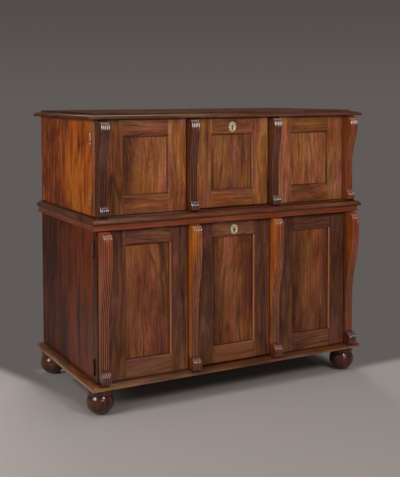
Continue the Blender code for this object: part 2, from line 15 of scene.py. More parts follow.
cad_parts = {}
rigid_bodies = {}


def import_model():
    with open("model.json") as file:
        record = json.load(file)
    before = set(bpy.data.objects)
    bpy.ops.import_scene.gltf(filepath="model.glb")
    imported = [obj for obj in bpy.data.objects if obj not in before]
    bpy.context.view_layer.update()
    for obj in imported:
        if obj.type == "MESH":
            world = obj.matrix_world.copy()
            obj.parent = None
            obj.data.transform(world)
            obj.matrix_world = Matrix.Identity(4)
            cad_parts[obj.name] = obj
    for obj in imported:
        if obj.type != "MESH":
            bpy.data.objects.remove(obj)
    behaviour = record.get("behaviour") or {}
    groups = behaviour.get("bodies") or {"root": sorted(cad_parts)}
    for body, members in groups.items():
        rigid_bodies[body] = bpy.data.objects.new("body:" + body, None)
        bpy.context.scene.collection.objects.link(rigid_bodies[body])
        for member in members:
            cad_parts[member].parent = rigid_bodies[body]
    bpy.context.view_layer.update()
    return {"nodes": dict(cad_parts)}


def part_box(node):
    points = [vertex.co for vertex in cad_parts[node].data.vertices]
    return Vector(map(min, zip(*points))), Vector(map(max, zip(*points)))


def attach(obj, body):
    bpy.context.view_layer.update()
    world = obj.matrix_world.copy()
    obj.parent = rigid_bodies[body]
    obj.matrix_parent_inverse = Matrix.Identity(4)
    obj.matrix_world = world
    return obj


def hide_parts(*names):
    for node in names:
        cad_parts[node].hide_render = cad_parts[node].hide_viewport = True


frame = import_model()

scene = bpy.context.scene
scene.view_settings.view_transform = "Standard"
for leftover in [thing for thing in scene.objects if thing.name in ("Cube", "Light", "Camera")]:
    bpy.data.objects.remove(leftover)

# %% [markdown]
# ## Camera
#
# The photograph was taken from the front left, a little above the top board, with the film plane almost
# upright. A camera that is tilted down to the middle of the cabinet would make its sides lean together. So
# this one is pitched by less than three degrees, and its lens is shifted to bring the feet into the picture.

# %% Camera
IMAGE_SIZE = (400, 477)
FOCAL_PIXELS = 867.3
AXIS_ROW = 137.7
SENSOR_WIDTH = 36
CAMERA_PLACE = Vector((-1.772, -3.2955, 1.2115))
CAMERA_YAW = math.radians(28.27)
CAMERA_PITCH = math.radians(2.85)
CAMERA_ROLL = math.radians(-0.14)


def add_object(name, data):
    made = bpy.data.objects.new(name, data)
    scene.collection.objects.link(made)
    return made


lens = bpy.data.cameras.new("camera")
lens.sensor_width = SENSOR_WIDTH
lens.lens = FOCAL_PIXELS / max(IMAGE_SIZE) * SENSOR_WIDTH
lens.shift_y = (AXIS_ROW - IMAGE_SIZE[1] / 2) / max(IMAGE_SIZE)
scene.camera = add_object("camera", lens)
turn = Matrix.Rotation(-CAMERA_YAW, 4, "Z") @ Matrix.Rotation(math.pi / 2 - CAMERA_PITCH, 4, "X")
scene.camera.matrix_world = Matrix.Translation(CAMERA_PLACE) @ turn @ Matrix.Rotation(CAMERA_ROLL, 4, "Z")
print("lens", round(lens.lens, 2), "mm, shift", round(lens.shift_y, 3))

# %% [markdown]
# ## Nodes
#
# Every finish here is a small tree of shader nodes. The trees could be drawn by hand in the shader editor,
# but a script can give each plank its own values. A few helpers keep the script short: they add a node, feed
# its inputs and hand back the socket that comes next.

# %% Node helpers


def linear(colour):
    """A colour given as screen values from 0 to 255, as the shader wants it."""
    return (*[((value / 255 + 0.055) / 1.055) ** 2.4 for value in colour], 1)


def feed(tree, node, values):
    """Links each named input of a node to a socket, or sets its value."""
    for name, value in values.items():
        if isinstance(value, bpy.types.NodeSocket):
            tree.links.new(value, node.inputs[name])
        else:
            node.inputs[name].default_value = value


def add_node(tree, kind, inputs=None, **settings):
    made = tree.nodes.new("ShaderNode" + kind)
    for name, value in settings.items():
        setattr(made, name, value)
    feed(tree, made, inputs or {})
    return made


def math_node(tree, operation, first, second=0.0, third=0.0, clamp=False):
    values = {0: first, 1: second, 2: third}
    return add_node(tree, "Math", values, operation=operation, use_clamp=clamp).outputs[0]


def times(tree, first, second, clamp=False):
    return math_node(tree, "MULTIPLY", first, second, clamp=clamp)


def vector_node(tree, operation, first, second=(0, 0, 0)):
    return add_node(tree, "VectorMath", {0: first, 1: second}, operation=operation).outputs[0]


def axes(tree, vector):
    return add_node(tree, "SeparateXYZ", {0: vector}).outputs


def mix_colour(tree, factor, first, second):
    return add_node(tree, "Mix", {0: factor, 6: first, 7: second}, data_type="RGBA").outputs[2]


print("a mid brown for the shader:", [round(value, 3) for value in linear((110, 60, 30))])

# %% Noise and groups


def noise(tree, vector, across, along, detail=2.0, roughness=0.5):
    """Noise with so many waves in a metre across the grain and along it."""
    stretched = vector_node(tree, "MULTIPLY", vector, (across, across, along))
    values = {"Vector": stretched, "Scale": 1.0, "Detail": detail, "Roughness": roughness}
    return add_node(tree, "TexNoise", values).outputs


def smooth_step(tree, value, low, high):
    """Grows softly from 0 at the first limit to 1 at the second, which may be the lower one."""
    values = {"Value": value, "From Min": low, "From Max": high}
    return add_node(tree, "MapRange", values, interpolation_type="SMOOTHSTEP").outputs["Result"]


def new_group(name, inputs, outputs):
    """An empty shader group with sockets given as (name, kind), its inputs and the node that ends it."""
    group = bpy.data.node_groups.new(name, "ShaderNodeTree")
    for way, sockets in (("INPUT", inputs), ("OUTPUT", outputs)):
        for label, kind in sockets:
            group.interface.new_socket(label, in_out=way, socket_type="NodeSocket" + kind)
    return group, group.nodes.new("NodeGroupInput").outputs, group.nodes.new("NodeGroupOutput")


# %% [markdown]
# ## Rosewood
#
# Rosewood has streaks of light and dark along the grain, thin dark veins that run in long flames, short open
# pores under a clear polish, and a hue that drifts slowly between red and brown. A photograph of a plank
# would repeat on every board. Noise that is stretched along the grain never repeats, and it runs through the
# solid, so edges and end faces agree. The streaks make one number, the tone, that slides between the dark,
# middle and light colour of a plank.

# %% Patterns of the grain

# Waves in a metre across and along the grain, detail and roughness of each noise
BEND = (4.5, 2.2)
MOTTLE = (11, 7, 3, 0.55)
BANDS = (26, 2.1, 4, 0.6)
STREAKS = (110, 5.0, 4, 0.65)
FIBRES = (420, 14, 2, 0.6)
DARK_STREAKS = (34, 1.4)
HUE = (20, 5)
FLAMES = (8, 0.6, 1, 0.4)
VEIN_PATCHES = (7, 1.6)
PORES = (900, 40, 1)

# How much each pattern counts in the tone, and the values of a noise between which a feature appears
TONE_WEIGHTS = {MOTTLE: 0.8, BANDS: 0.9, STREAKS: 1.6, FIBRES: 0.9}
DARK_STREAK_WEIGHT = 0.30
DARK_STREAK_RANGE = (0.60, 0.74)
HUE_DRIFT = (0.0, 1.0, 2.4)
VEIN_LINES = 11.0
VEIN_RANGE = (0.14, 0.02)
VEIN_PATCH_RANGE = (0.44, 0.62)
VEIN_SHADE = (0.5, 0.5, 0.5)
PORE_RANGE = (0.60, 0.68)
PORE_COLOUR = (0.012, 0.006, 0.004, 1)
PORE_DARKNESS = 0.35
PORE_ROUGHNESS = 0.12
POLISH_ROUGHNESS = 0.30
FIBRE_HEIGHT = 0.3
print("finest fibres:", round(1000 / FIBRES[0], 1), "mm apart")

# %% Rosewood figure


def centred(tree, colour):
    return vector_node(tree, "SUBTRACT", colour, (0.5, 0.5, 0.5))


def make_rosewood_figure():
    """Group that turns a place in a plank into the colour, roughness and height of the wood there."""
    inputs = [("Vector", "Vector"), ("Dark", "Color"), ("Middle", "Color"), ("Light", "Color")]
    inputs += [(label, "Float") for label in ("Warp", "Veins", "Contrast", "Shade", "Drift")]
    outputs = [("Color", "Color"), ("Roughness", "Float"), ("Height", "Float")]
    group, given, wanted = new_group("rosewood_figure", inputs, outputs)

    wander = centred(group, noise(group, given["Vector"], *BEND)["Color"])
    sideways = add_node(group, "CombineXYZ", {0: given["Warp"], 1: given["Warp"]}).outputs[0]
    along = vector_node(group, "ADD", given["Vector"], vector_node(group, "MULTIPLY", wander, sideways))

    patterns = {size: noise(group, along, *size)[0] for size in TONE_WEIGHTS}
    tone = 0.0
    for size, weight in TONE_WEIGHTS.items():
        swing = math_node(group, "MULTIPLY_ADD", patterns[size], weight, -weight / 2)
        tone = math_node(group, "ADD", tone, swing)
    dark_streaks = smooth_step(group, noise(group, along, *DARK_STREAKS)[0], *DARK_STREAK_RANGE)
    tone = math_node(group, "MULTIPLY_ADD", dark_streaks, -DARK_STREAK_WEIGHT, tone)
    tone = math_node(group, "MULTIPLY_ADD", tone, given["Contrast"], 0.5)
    tone = math_node(group, "ADD", tone, given["Shade"])
    light_half = math_node(group, "MULTIPLY_ADD", tone, 2.0, -1.0, clamp=True)
    dark_half = times(group, tone, 2.0, clamp=True)
    colour = mix_colour(group, light_half, given["Middle"], given["Light"])
    colour = mix_colour(group, dark_half, given["Dark"], colour)

    drift = vector_node(group, "MULTIPLY", centred(group, noise(group, along, *HUE)["Color"]), HUE_DRIFT)
    drift = vector_node(group, "MULTIPLY", drift, given["Drift"])
    colour = vector_node(group, "MULTIPLY", colour, vector_node(group, "ADD", drift, (1, 1, 1)))

    growth = times(group, noise(group, along, *FLAMES)[0], VEIN_LINES)
    lines = smooth_step(group, math_node(group, "PINGPONG", growth, 0.5), *VEIN_RANGE)
    patches = smooth_step(group, noise(group, along, *VEIN_PATCHES)[0], *VEIN_PATCH_RANGE)
    veins = times(group, times(group, lines, patches), given["Veins"], clamp=True)
    colour = mix_colour(group, veins, colour, vector_node(group, "MULTIPLY", given["Dark"], VEIN_SHADE))

    pores = smooth_step(group, noise(group, along, *PORES)[0], *PORE_RANGE)
    pits = times(group, pores, -1.0)
    looks = {
        "Color": mix_colour(group, times(group, pores, PORE_DARKNESS), colour, PORE_COLOUR),
        "Roughness": math_node(group, "MULTIPLY_ADD", pores, PORE_ROUGHNESS, POLISH_ROUGHNESS),
        "Height": math_node(group, "MULTIPLY_ADD", patterns[FIBRES], FIBRE_HEIGHT, pits),
    }
    feed(group, wanted, looks)
    return group


ROSEWOOD_FIGURE = make_rosewood_figure()
print("group:", ROSEWOOD_FIGURE.name, len(ROSEWOOD_FIGURE.nodes), "nodes")

# %% [markdown]
# ## Grime and painted shade
#
# Years of wax and dust leave a dark line in every hollow, and shade falls there as well. It could be
# painted along each seam by hand, but the Ambient Occlusion node finds hollows by itself. So one group
# darkens the finish between the reeds, under the mouldings and round the panels, as dust and painted shade.

# %% Grime and painted shade in the hollows
# Openness at which the dust and painted shade begin and are full, and the colour they darken by
SHUT_RANGE = (0.97, 0.40)
GRIME_AND_SHADE_TINT = (0.16, 0.11, 0.09)


def make_grime_and_shade():
    """Group that darkens a colour where other faces lie within its reach, as dust and painted shade."""
    inputs = [("Color", "Color"), ("Reach", "Float"), ("Strength", "Float")]
    group, given, wanted = new_group("grime_and_shade", inputs, [("Color", "Color")])
    # Ambient occlusion finds the hollows, and the colour is darkened there as dust and painted shade
    hollow = add_node(group, "AmbientOcclusion", {"Distance": given["Reach"]}, samples=8)
    shut = smooth_step(group, hollow.outputs["AO"], *SHUT_RANGE)
    dirty_and_shaded = vector_node(group, "MULTIPLY", given["Color"], GRIME_AND_SHADE_TINT)
    factor = times(group, shut, given["Strength"])
    feed(group, wanted, {"Color": mix_colour(group, factor, given["Color"], dirty_and_shaded)})
    return group


GRIME_AND_SHADE = make_grime_and_shade()
print("group:", GRIME_AND_SHADE.name, len(GRIME_AND_SHADE.nodes), "nodes")

# %% [markdown]
# ## Planks
#
# Each board of the cabinet is its own plank, with its own stretch of figure. The pieces could be unwrapped
# and textured one by one. Here they all read the one figure, turned so that the grain runs the right way and
# moved to a fresh place. A door frame holds planks in two directions, so its grain turns where a rail meets a
# stile, and a moulded board's grain turns at the mitre of its end mouldings.

# %% Direction of the grain
GRAIN_ORDER = {"Z": (0, 1, 2), "side": (1, 0, 2), "X": (2, 1, 0), "Y": (0, 2, 1)}
MITRE_WIDTH = 0.06


def grain_vector(tree, place, grain, shift):
    """Coordinates turned so that the grain runs along the third axis, and moved to a fresh plank."""
    order = enumerate(GRAIN_ORDER[grain])
    turned_place = add_node(tree, "CombineXYZ", {number: place[axis] for number, axis in order}).outputs[0]
    return vector_node(tree, "ADD", turned_place, shift)


def choose(tree, factor, first, second):
    return add_node(tree, "Mix", {0: factor, 4: first, 5: second}, data_type="VECTOR").outputs[1]


def plank_vector(tree, place, aside, grain, shift, rails, mitre):
    """Grain coordinates of a piece that may hold planks in two directions.

    Rails are the X limits between which the grain runs across. Mitre is the half width and the front of a
    board whose end mouldings are cut from a plank that runs from front to back.
    """
    vector = grain_vector(tree, place, grain, shift)
    if rails:
        middle = sum(rails) / 2
        away = math_node(tree, "ABSOLUTE", math_node(tree, "SUBTRACT", place[0], middle))
        on_rail = math_node(tree, "LESS_THAN", away, rails[1] - middle)
        vector = choose(tree, on_rail, vector, grain_vector(tree, place, "X", shift))
    if mitre:
        half_width, front = mitre
        from_end = math_node(tree, "SUBTRACT", half_width, aside)
        from_front = math_node(tree, "SUBTRACT", place[1], front)
        near_end = math_node(tree, "LESS_THAN", from_end, math_node(tree, "MINIMUM", from_front, MITRE_WIDTH))
        vector = choose(tree, near_end, vector, grain_vector(tree, place, "Y", shift))
    return vector


print("ways the grain can run:", ", ".join(GRAIN_ORDER))

# %% [markdown]
# ## Painted highlights and shade
#
# A painted highlight lies along the right edge of each lower opening and on the crests of the reeds, and
# painted shade lies along seams, round the panels, in the gap at the lower doors' outer edges and between
# the reeds. A noise would scatter such marks anywhere. They follow the way the cabinet is made, so each is
# a mask that is placed by the sizes of its piece.

# %% Masks of the marks
# How far the painted shade reaches into a panel's border, and where it is full
BORDER_WIDTH = 0.0045
BORDER_CORE = 0.00135
# Blur of the sides of the painted highlight along an edge
EDGE_HIGHLIGHT_BLUR = 0.001
REED_COUNT = 5
REED_EDGE = 0.0006
# Levels of the wave across the reeds at which painted shade fills a hollow and a painted highlight a crest
HOLLOW_RANGE = (0.0, 0.8)
CREST_RANGE = (-0.4, -1.0)


def window(tree, value, rise, fall):
    """Grows from 0 to 1 between the two limits of rise, and falls back between those of fall."""
    return times(tree, smooth_step(tree, value, *rise), smooth_step(tree, value, fall[1], fall[0]))


# Mask of the painted highlight along an edge, between two heights
def highlighted_edge(tree, place, left, right, low, high):
    edge_highlight = window(tree, place[0], (left - EDGE_HIGHLIGHT_BLUR, left), (right, right + EDGE_HIGHLIGHT_BLUR))
    edge_highlight = times(tree, edge_highlight, math_node(tree, "GREATER_THAN", place[2], low))
    return times(tree, edge_highlight, math_node(tree, "LESS_THAN", place[2], high))


# Mask of the painted shade round a panel
def border_line(tree, place, left, right, low, high):
    """Grows from 0 to 1 over the last few millimetres inside the limits."""
    inset = math_node(tree, "SUBTRACT", place[0], left)
    for ends in ((right, place[0]), (place[2], low), (high, place[2])):
        inset = math_node(tree, "MINIMUM", inset, math_node(tree, "SUBTRACT", *ends))
    return smooth_step(tree, inset, BORDER_WIDTH, BORDER_CORE)


def reed_marks(tree, aside, near, far):
    """Masks of the painted shade in the hollows between the reeds and of the painted highlight on their
    crests.
    """
    turns = math_node(tree, "SUBTRACT", aside, near)
    wave = math_node(tree, "COSINE", times(tree, turns, 2 * math.pi * REED_COUNT / (far - near)))
    on_reeds = window(tree, aside, (near, near + REED_EDGE), (far - REED_EDGE, far))
    ranges = (HOLLOW_RANGE, CREST_RANGE)
    return [times(tree, smooth_step(tree, wave, *limits), on_reeds) for limits in ranges]


print("painted_shade reaches", BORDER_WIDTH * 1000, "mm over the border of a panel")

# %% Colours of the marks
# Colour of painted shade in seams, round the panels and in the hollows between the reeds
PAINTED_SHADE_COLOUR = (24, 13, 9)
# Colour of painted shade in the gap at a lower door's outer edge
GAP_SHADE_COLOUR = (44, 15, 6)
# Colour of the painted highlight along an edge, where a moulding would catch the light
EDGE_HIGHLIGHT_COLOUR = (176, 104, 66)
# Colour of the painted highlight on the crests of the reeds
CREST_HIGHLIGHT_COLOUR = (170, 86, 52)
# Strength of the painted highlight along an edge
EDGE_HIGHLIGHT_STRENGTH = 0.5
# Strengths of the painted shade round a panel and in lines
BORDER_SHADE_STRENGTH = 0.75
LINE_SHADE_STRENGTH = 0.8
SEAM_BLUR = 0.0006


def marks(tree, place, aside, worn, border, seams, edge, reeds):
    """Yields the mask and the colour of each mark on a plank, the lowest layer first.

    Brightened and border are the (left, right, low, high) limits of a painted highlight along an edge and of
    the opening round a panel, whose border gets painted shade. Seams are (low, high) pairs of heights between
    which shade is painted. Edge is the distance from the cabinet's middle beyond which shade is painted, as
    in a gap. Reeds are the distances at which reeds begin and end, and the strength of the painted highlight
    on their crests.
    """
    # Painted highlight along an edge
    if worn:
        yield times(tree, highlighted_edge(tree, place, *worn), EDGE_HIGHLIGHT_STRENGTH), EDGE_HIGHLIGHT_COLOUR
    # Painted shade round a panel
    if border:
        yield times(tree, border_line(tree, place, *border), BORDER_SHADE_STRENGTH), PAINTED_SHADE_COLOUR
    # Lines of painted shade
    for low, high in seams:
        rise = (low - SEAM_BLUR, low + SEAM_BLUR)
        fall = (high - SEAM_BLUR, high + SEAM_BLUR)
        yield times(tree, window(tree, place[2], rise, fall), LINE_SHADE_STRENGTH), PAINTED_SHADE_COLOUR
    # Painted shade in the gap at the outer edge
    if edge:
        yield times(tree, math_node(tree, "GREATER_THAN", aside, edge), LINE_SHADE_STRENGTH), GAP_SHADE_COLOUR
    # Painted shade in the hollows and painted highlight on the crests of the reeds
    if reeds:
        near, far, crest_highlight = reeds
        hollow, crest = reed_marks(tree, aside, near, far)
        yield times(tree, hollow, LINE_SHADE_STRENGTH), PAINTED_SHADE_COLOUR
        yield times(tree, crest, crest_highlight), CREST_HIGHLIGHT_COLOUR


# %% [markdown]
# ## Polish
#
# One finish serves every piece of wood: figure first, then the marks, then dust and painted shade in the
# hollows, all under a thin clear coat. A tree drawn for each plank would repeat the same nodes 25 times.
# Slopes shade a plank between two places along an axis, softly or, at a joint, sharply; a few of them are
# painted light or painted shadow.

# %% Polished rosewood
FIBRE_BUMP = 0.12
FIBRE_DEPTH = 0.0004
COAT_ROUGHNESS = 0.12
FINISHES = {}


def new_finish(name):
    """Starts a material and returns its tree, its shader and the place on the object."""
    FINISHES[name] = bpy.data.materials.new(name)
    FINISHES[name].use_nodes = True
    tree = FINISHES[name].node_tree
    print("finish:", name)
    return tree, tree.nodes["Principled BSDF"], add_node(tree, "TexCoord").outputs["Object"]


def bumped(tree, height, strength, distance):
    values = {"Height": height, "Strength": strength, "Distance": distance}
    return add_node(tree, "Bump", values).outputs["Normal"]


def grimy_and_shaded(tree, colour, reach, strength):
    values = {"Color": colour, "Reach": reach, "Strength": strength}
    return add_node(tree, "Group", values, node_tree=GRIME_AND_SHADE).outputs["Color"]


def polished(
    name,
    grain,
    tones,
    shift,
    warp=0.05,
    veins=0.6,
    contrast=1.0,
    shade=0.0,
    drift=1.0,
    slopes=(),
    rails=None,
    mitre=None,
    worn=None,
    border=None,
    seams=(),
    edge=None,
    reeds=None,
    # reach and strength of the dust and painted shade in hollows
    grime_and_shade=(0.006, 0.8),
    specular=0.12,
    coat=0.25,
    coat_ior=1.5,
):
    """Rosewood under clear polish; tones are the dark, middle and light colours of the plank.

    Slopes are (axis, start, end, amount) of shade. Rails and mitre turn the grain, as plank_vector says.
    Brightened, border, seams, edge and reeds place the painted highlights and shade, as marks says.
    Grime_and_shade is the reach and the strength of the dust and painted shade in hollows.
    """
    tree, shader, spot = new_finish(name)
    place = axes(tree, spot)
    aside = math_node(tree, "ABSOLUTE", place[0])
    along = {"X": place[0], "Y": place[1], "Z": place[2], "side": aside}
    for axis, start, end, amount in slopes:
        shade = math_node(tree, "MULTIPLY_ADD", smooth_step(tree, along[axis], start, end), amount, shade)
    values = {
        "Vector": plank_vector(tree, place, aside, grain, shift, rails, mitre),
        "Warp": warp,
        "Veins": veins,
        "Contrast": contrast,
        "Shade": shade,
        "Drift": drift,
        **dict(zip(("Dark", "Middle", "Light"), map(linear, tones))),
    }
    figure = add_node(tree, "Group", values, node_tree=ROSEWOOD_FIGURE).outputs
    colour = figure["Color"]
    for mask, tone in marks(tree, place, aside, worn, border, seams, edge, reeds):
        colour = mix_colour(tree, mask, colour, linear(tone))
    # The base colour gets dust and painted shade in its hollows
    looks = {
        "Base Color": grimy_and_shaded(tree, colour, *grime_and_shade),
        "Roughness": figure["Roughness"],
        "Normal": bumped(tree, figure["Height"], FIBRE_BUMP, FIBRE_DEPTH),
        "Specular IOR Level": specular,
        "Coat Weight": coat,
        "Coat IOR": coat_ior,
        "Coat Roughness": COAT_ROUGHNESS,
    }
    feed(tree, shader, looks)


# %% [markdown]
# ## Boards and feet
#
# The top is dark and dry, the lip of the waist is brown over a redder band, and the base is lightest along
# its lower edge, partly as a painted reflection of the pale floor and partly as thinner polish. Painted shade
# marks the quirk of the lip and the joint between lip and band. One long texture for all boards would make
# them one piece of wood, so each has tones and a place in the figure of its own.

# %% Finish of the boards and feet
TOP_TONES = ((37, 20, 14), (66, 41, 30), (99, 66, 50))
LIP_TONES = ((40, 18, 10), (76, 38, 20), (114, 63, 31))
BAND_TONES = ((58, 23, 12), (106, 46, 21), (142, 72, 31))
BASE_TONES = ((50, 25, 14), (90, 50, 29), (154, 103, 70))
FOOT_TONES = ((40, 22, 16), (74, 41, 29), (112, 66, 46))
QUIRK_LINE = (0.004, 0.0015)
LIP_JOINT = 0.0035
BAND_JOINT = 0.003


def span(node):
    """Lowest and highest point of a node."""
    lo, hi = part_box(node)
    return lo.z, hi.z


def board_finish(name, node, tones, shift, **look):
    lo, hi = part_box(node)
    polished(name, "X", tones, shift, contrast=0.6, mitre=(hi.x, lo.y), coat_ior=1.6, **look)


board_finish("top", "top_board", TOP_TONES, (0.3, 0.7, 0.2), coat=0.12, specular=0.0)
low, high = span("waist_lip_board")
# Lines of painted shade in the quirk of the lip and at its joint with the band
seams = [tuple(high - drop for drop in QUIRK_LINE), (low - LIP_JOINT, low + LIP_JOINT)]
board_finish("lip", "waist_lip_board", LIP_TONES, (0.8, 0.2, 1.4), seams=seams, coat=0.4)
high = span("waist_band_board")[1]
# A line of painted shade along the top of the band, under the lip
seams = [(high - BAND_JOINT, high)]
board_finish("band", "waist_band_board", BAND_TONES, (1.3, 0.1, 0.9), seams=seams, coat=0.5)
low, high = span("base_board")
# Painted reflection of the floor and thinner polish make the lower edge lighter
slopes = [("Z", high, low, 0.55), ("X", -0.50, -0.25, -0.28), ("X", -0.60, -0.64, -0.15)]
board_finish("base", "base_board", BASE_TONES, (2.1, 0.6, 0.4), slopes=slopes, coat=0.6)
polished("foot", "Z", FOOT_TONES, (0.2, 2.3, 0.5), warp=0.03, coat=0.5)

# %% [markdown]
# ## Sides and inside
#
# The upper side is bleached to orange and the lower one is dark, and both grow lighter towards the front. The
# backs, dividers and shelves don't show in the photograph, so plain pine is a guess. It is made from the same
# figure with pale tones, few veins and no coat, because a second figure would gain little where it is unseen.

# %% Finish of the sides and the inside
UPPER_SIDE_TONES = ((66, 22, 3), (112, 48, 6), (160, 84, 18))
LOWER_SIDE_TONES = ((34, 11, 4), (61, 22, 6), (100, 40, 10))
PINE_TONES = ((120, 84, 48), (158, 116, 70), (184, 142, 92))
UPPER_SIDE_LOOK = {"warp": 0.12, "veins": 0.35, "contrast": 1.6, "shade": -0.08}
LOWER_SIDE_LOOK = {"veins": 0.35, "contrast": 1.4, "shade": -0.02, "coat": 0.1}
PINE_LOOK = {"veins": 0.15, "contrast": 0.6, "drift": 0.25, "coat": 0.0}

slopes = [("Y", 0.2, -0.05, 0.42)]
polished("upper_side", "side", UPPER_SIDE_TONES, (1.1, 0.4, 0.3), slopes=slopes, **UPPER_SIDE_LOOK)
slopes = [("Y", 0.1, -0.1, 0.30)]
polished("lower_side", "side", LOWER_SIDE_TONES, (2.6, 1.2, 0.8), slopes=slopes, **LOWER_SIDE_LOOK)
polished("pine", "Z", PINE_TONES, (4.1, 0.2, 0.3), **PINE_LOOK)

# %% [markdown]
# ## Pilasters
#
# The reeds were handled and waxed most, so they shine more than the rest. Their light crests and black
# hollows are painted: the dust and painted shade of the ambient occlusion group alone leave such narrow
# hollows too pale at this size, so a wave across the five reeds paints shade into each hollow and a highlight
# on each crest. The rolls at the foot and the lower shafts are darker.

# %% Finish of the pilasters
UPPER_PILASTER_TONES = ((34, 13, 5), (66, 31, 13), (102, 52, 23))
BRIGHT_PILASTER_TONES = ((60, 20, 5), (108, 47, 11), (148, 76, 22))
OUTER_PILASTER_TONES = ((58, 22, 8), (110, 48, 15), (150, 76, 26))
INNER_PILASTER_TONES = ((88, 39, 11), (163, 86, 25), (198, 118, 40))
UPPER_ROLL = ("Z", 0.80, 0.79, -0.15)
LOWER_ROLL = ("Z", 0.185, 0.17, -0.40)
OUTER_SHAFT = ("Z", 0.48, 0.38, -0.12)
INNER_SHAFT = ("Z", 0.42, 0.28, -0.20)
# Reach and strength of the dust and painted shade between the reeds
REED_GRIME_AND_SHADE = (0.006, 1.0)


def pilaster_finish(name, node, tones, shift, crest_highlight, gloss, slopes, reed_shade=0.0):
    """Finish of a pilaster whose reeds have their own shade between its flat sides."""
    lo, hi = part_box(node)
    near, far = sorted((abs(lo.x), abs(hi.x)))
    if reed_shade:
        slopes = [*slopes, ("side", near, near + REED_EDGE, reed_shade)]
        slopes.append(("side", far - REED_EDGE, far, -reed_shade))
    look = {"veins": 0.2, "contrast": 0.7, "grime_and_shade": REED_GRIME_AND_SHADE, "coat": 1.0, "coat_ior": gloss}
    polished(name, "Z", tones, shift, slopes=slopes, reeds=(near, far, crest_highlight), **look)


# The fifth value of each call is the strength of the painted highlight on the crests of the reeds
tones, shift = UPPER_PILASTER_TONES, (0.9, 3.1, 0.7)
pilaster_finish("upper_pilaster", "upper_left_inner_pilaster", tones, shift, 0.16, 1.8, [UPPER_ROLL])
pilaster_finish("dark_pilaster", "upper_left_outer_pilaster", tones, shift, 0.10, 1.8, [UPPER_ROLL])
tones, shift = BRIGHT_PILASTER_TONES, (0.4, 2.1, 0.3)
pilaster_finish("bright_pilaster", "upper_right_outer_pilaster", tones, shift, 0.10, 1.8, [UPPER_ROLL])
tones, shift, slopes = OUTER_PILASTER_TONES, (1.9, 2.6, 0.2), [LOWER_ROLL, OUTER_SHAFT]
pilaster_finish("outer_pilaster", "lower_left_outer_pilaster", tones, shift, 0.35, 1.7, slopes, 0.04)
tones, shift, slopes = INNER_PILASTER_TONES, (2.9, 1.6, 1.2), [LOWER_ROLL, INNER_SHAFT]
# The last value paints the reeds darker than the flat sides, as painted shade, since the sides take the light
# from the left
pilaster_finish("inner_pilaster", "lower_left_inner_pilaster", tones, shift, 0.35, 1.7, slopes, -0.30)

# %% [markdown]
# ## Fronts
#
# No two planks of the six fronts are alike: each stile, rail and panel has faded by its own amount. Twelve
# finishes written out would hide that they are made alike, so a table holds the shades and a loop makes a
# frame and a panel from each row. Each front has a painted shadow along its top. The upper fronts have
# painted light at the left corner, and the lower ones have a painted shadow under the waist, painted shade in
# the gap along the corner and a painted highlight along the right edge of the opening.

# %% Tones and shades of the fronts
UPPER_DOOR_TONES = ((54, 23, 11), (105, 60, 33), (144, 96, 62))
LEFT_DOOR_TONES = ((54, 22, 8), (105, 58, 28), (144, 95, 57))
LOWER_FRAME_TONES = ((40, 19, 12), (77, 44, 28), (116, 70, 44))
LOWER_PANEL_TONES = ((48, 22, 12), (91, 49, 27), (132, 78, 44))

# Shades of the left stile, rails and right stile of each front and how much its top rail is lighter than the
# bottom one, then the shades of its panel at the left, in the middle and at the right
FRONT_SHADES = {
    "upper_left_door": ((-0.24, -0.22, -0.12, 0.10), (-0.46, -0.04, 0.05)),
    "upper_flap": ((0.02, -0.06, -0.02, 0.0), (-0.12, 0.0, -0.06)),
    "upper_right_door": ((0.10, -0.17, 0.0, 0.0), (0.12, 0.06, 0.02)),
    "lower_left_door": ((0.23, 0.38, 0.15, -0.24), (0.25, 0.22, -0.08)),
    "lower_flap": ((0.02, 0.60, 0.05, -0.19), (-0.16, 0.22, -0.10)),
    "lower_right_door": ((0.08, 0.25, 0.10, -0.24), (-0.12, 0.10, -0.12)),
}
FRONT_CONTRAST = {"upper": 0.85, "lower": 0.9}
SEAT = 0.0003
PANEL_GROOVE = 0.010


def panel_opening(front):
    """Left, right, low and high limits of the opening in which a panel shows."""
    lo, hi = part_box(front + "_panel")
    lap = PANEL_GROOVE - SEAT
    return lo.x + lap, hi.x - lap, lo.z + lap, hi.z - lap


def front_tones(front, lower_tones):
    if front.startswith("lower"):
        return lower_tones
    return LEFT_DOOR_TONES if "left" in front else UPPER_DOOR_TONES


for front in FRONT_SHADES:
    print(front, "opening:", [round(limit, 4) for limit in panel_opening(front)])

# %% Finish of the fronts
HALF_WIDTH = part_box("upper_right_side")[1].x
JOINT = 0.012
# Height of the line of painted shadow along the top of each front, under the board above
TOP_LINE = 0.004
# Width of the painted shade in the gap at the outer edge of the lower doors
EDGE_LINE = 0.001
# Width and strength of the painted light at the left corner of the upper fronts
PAINTED_CORNER_WIDTH = 0.010
PAINTED_CORNER_LIGHT = 0.40
# Height and depth of the painted shadow that the waist throws on the lower fronts
PAINTED_SHADOW_HEIGHT = 0.018
PAINTED_SHADOW_DEPTH = -0.45
# Width of the painted highlight along the right edge of the lower openings
EDGE_HIGHLIGHT_WIDTH = 0.004
PANEL_FADE = 0.4
PANEL_MARGIN = 0.1


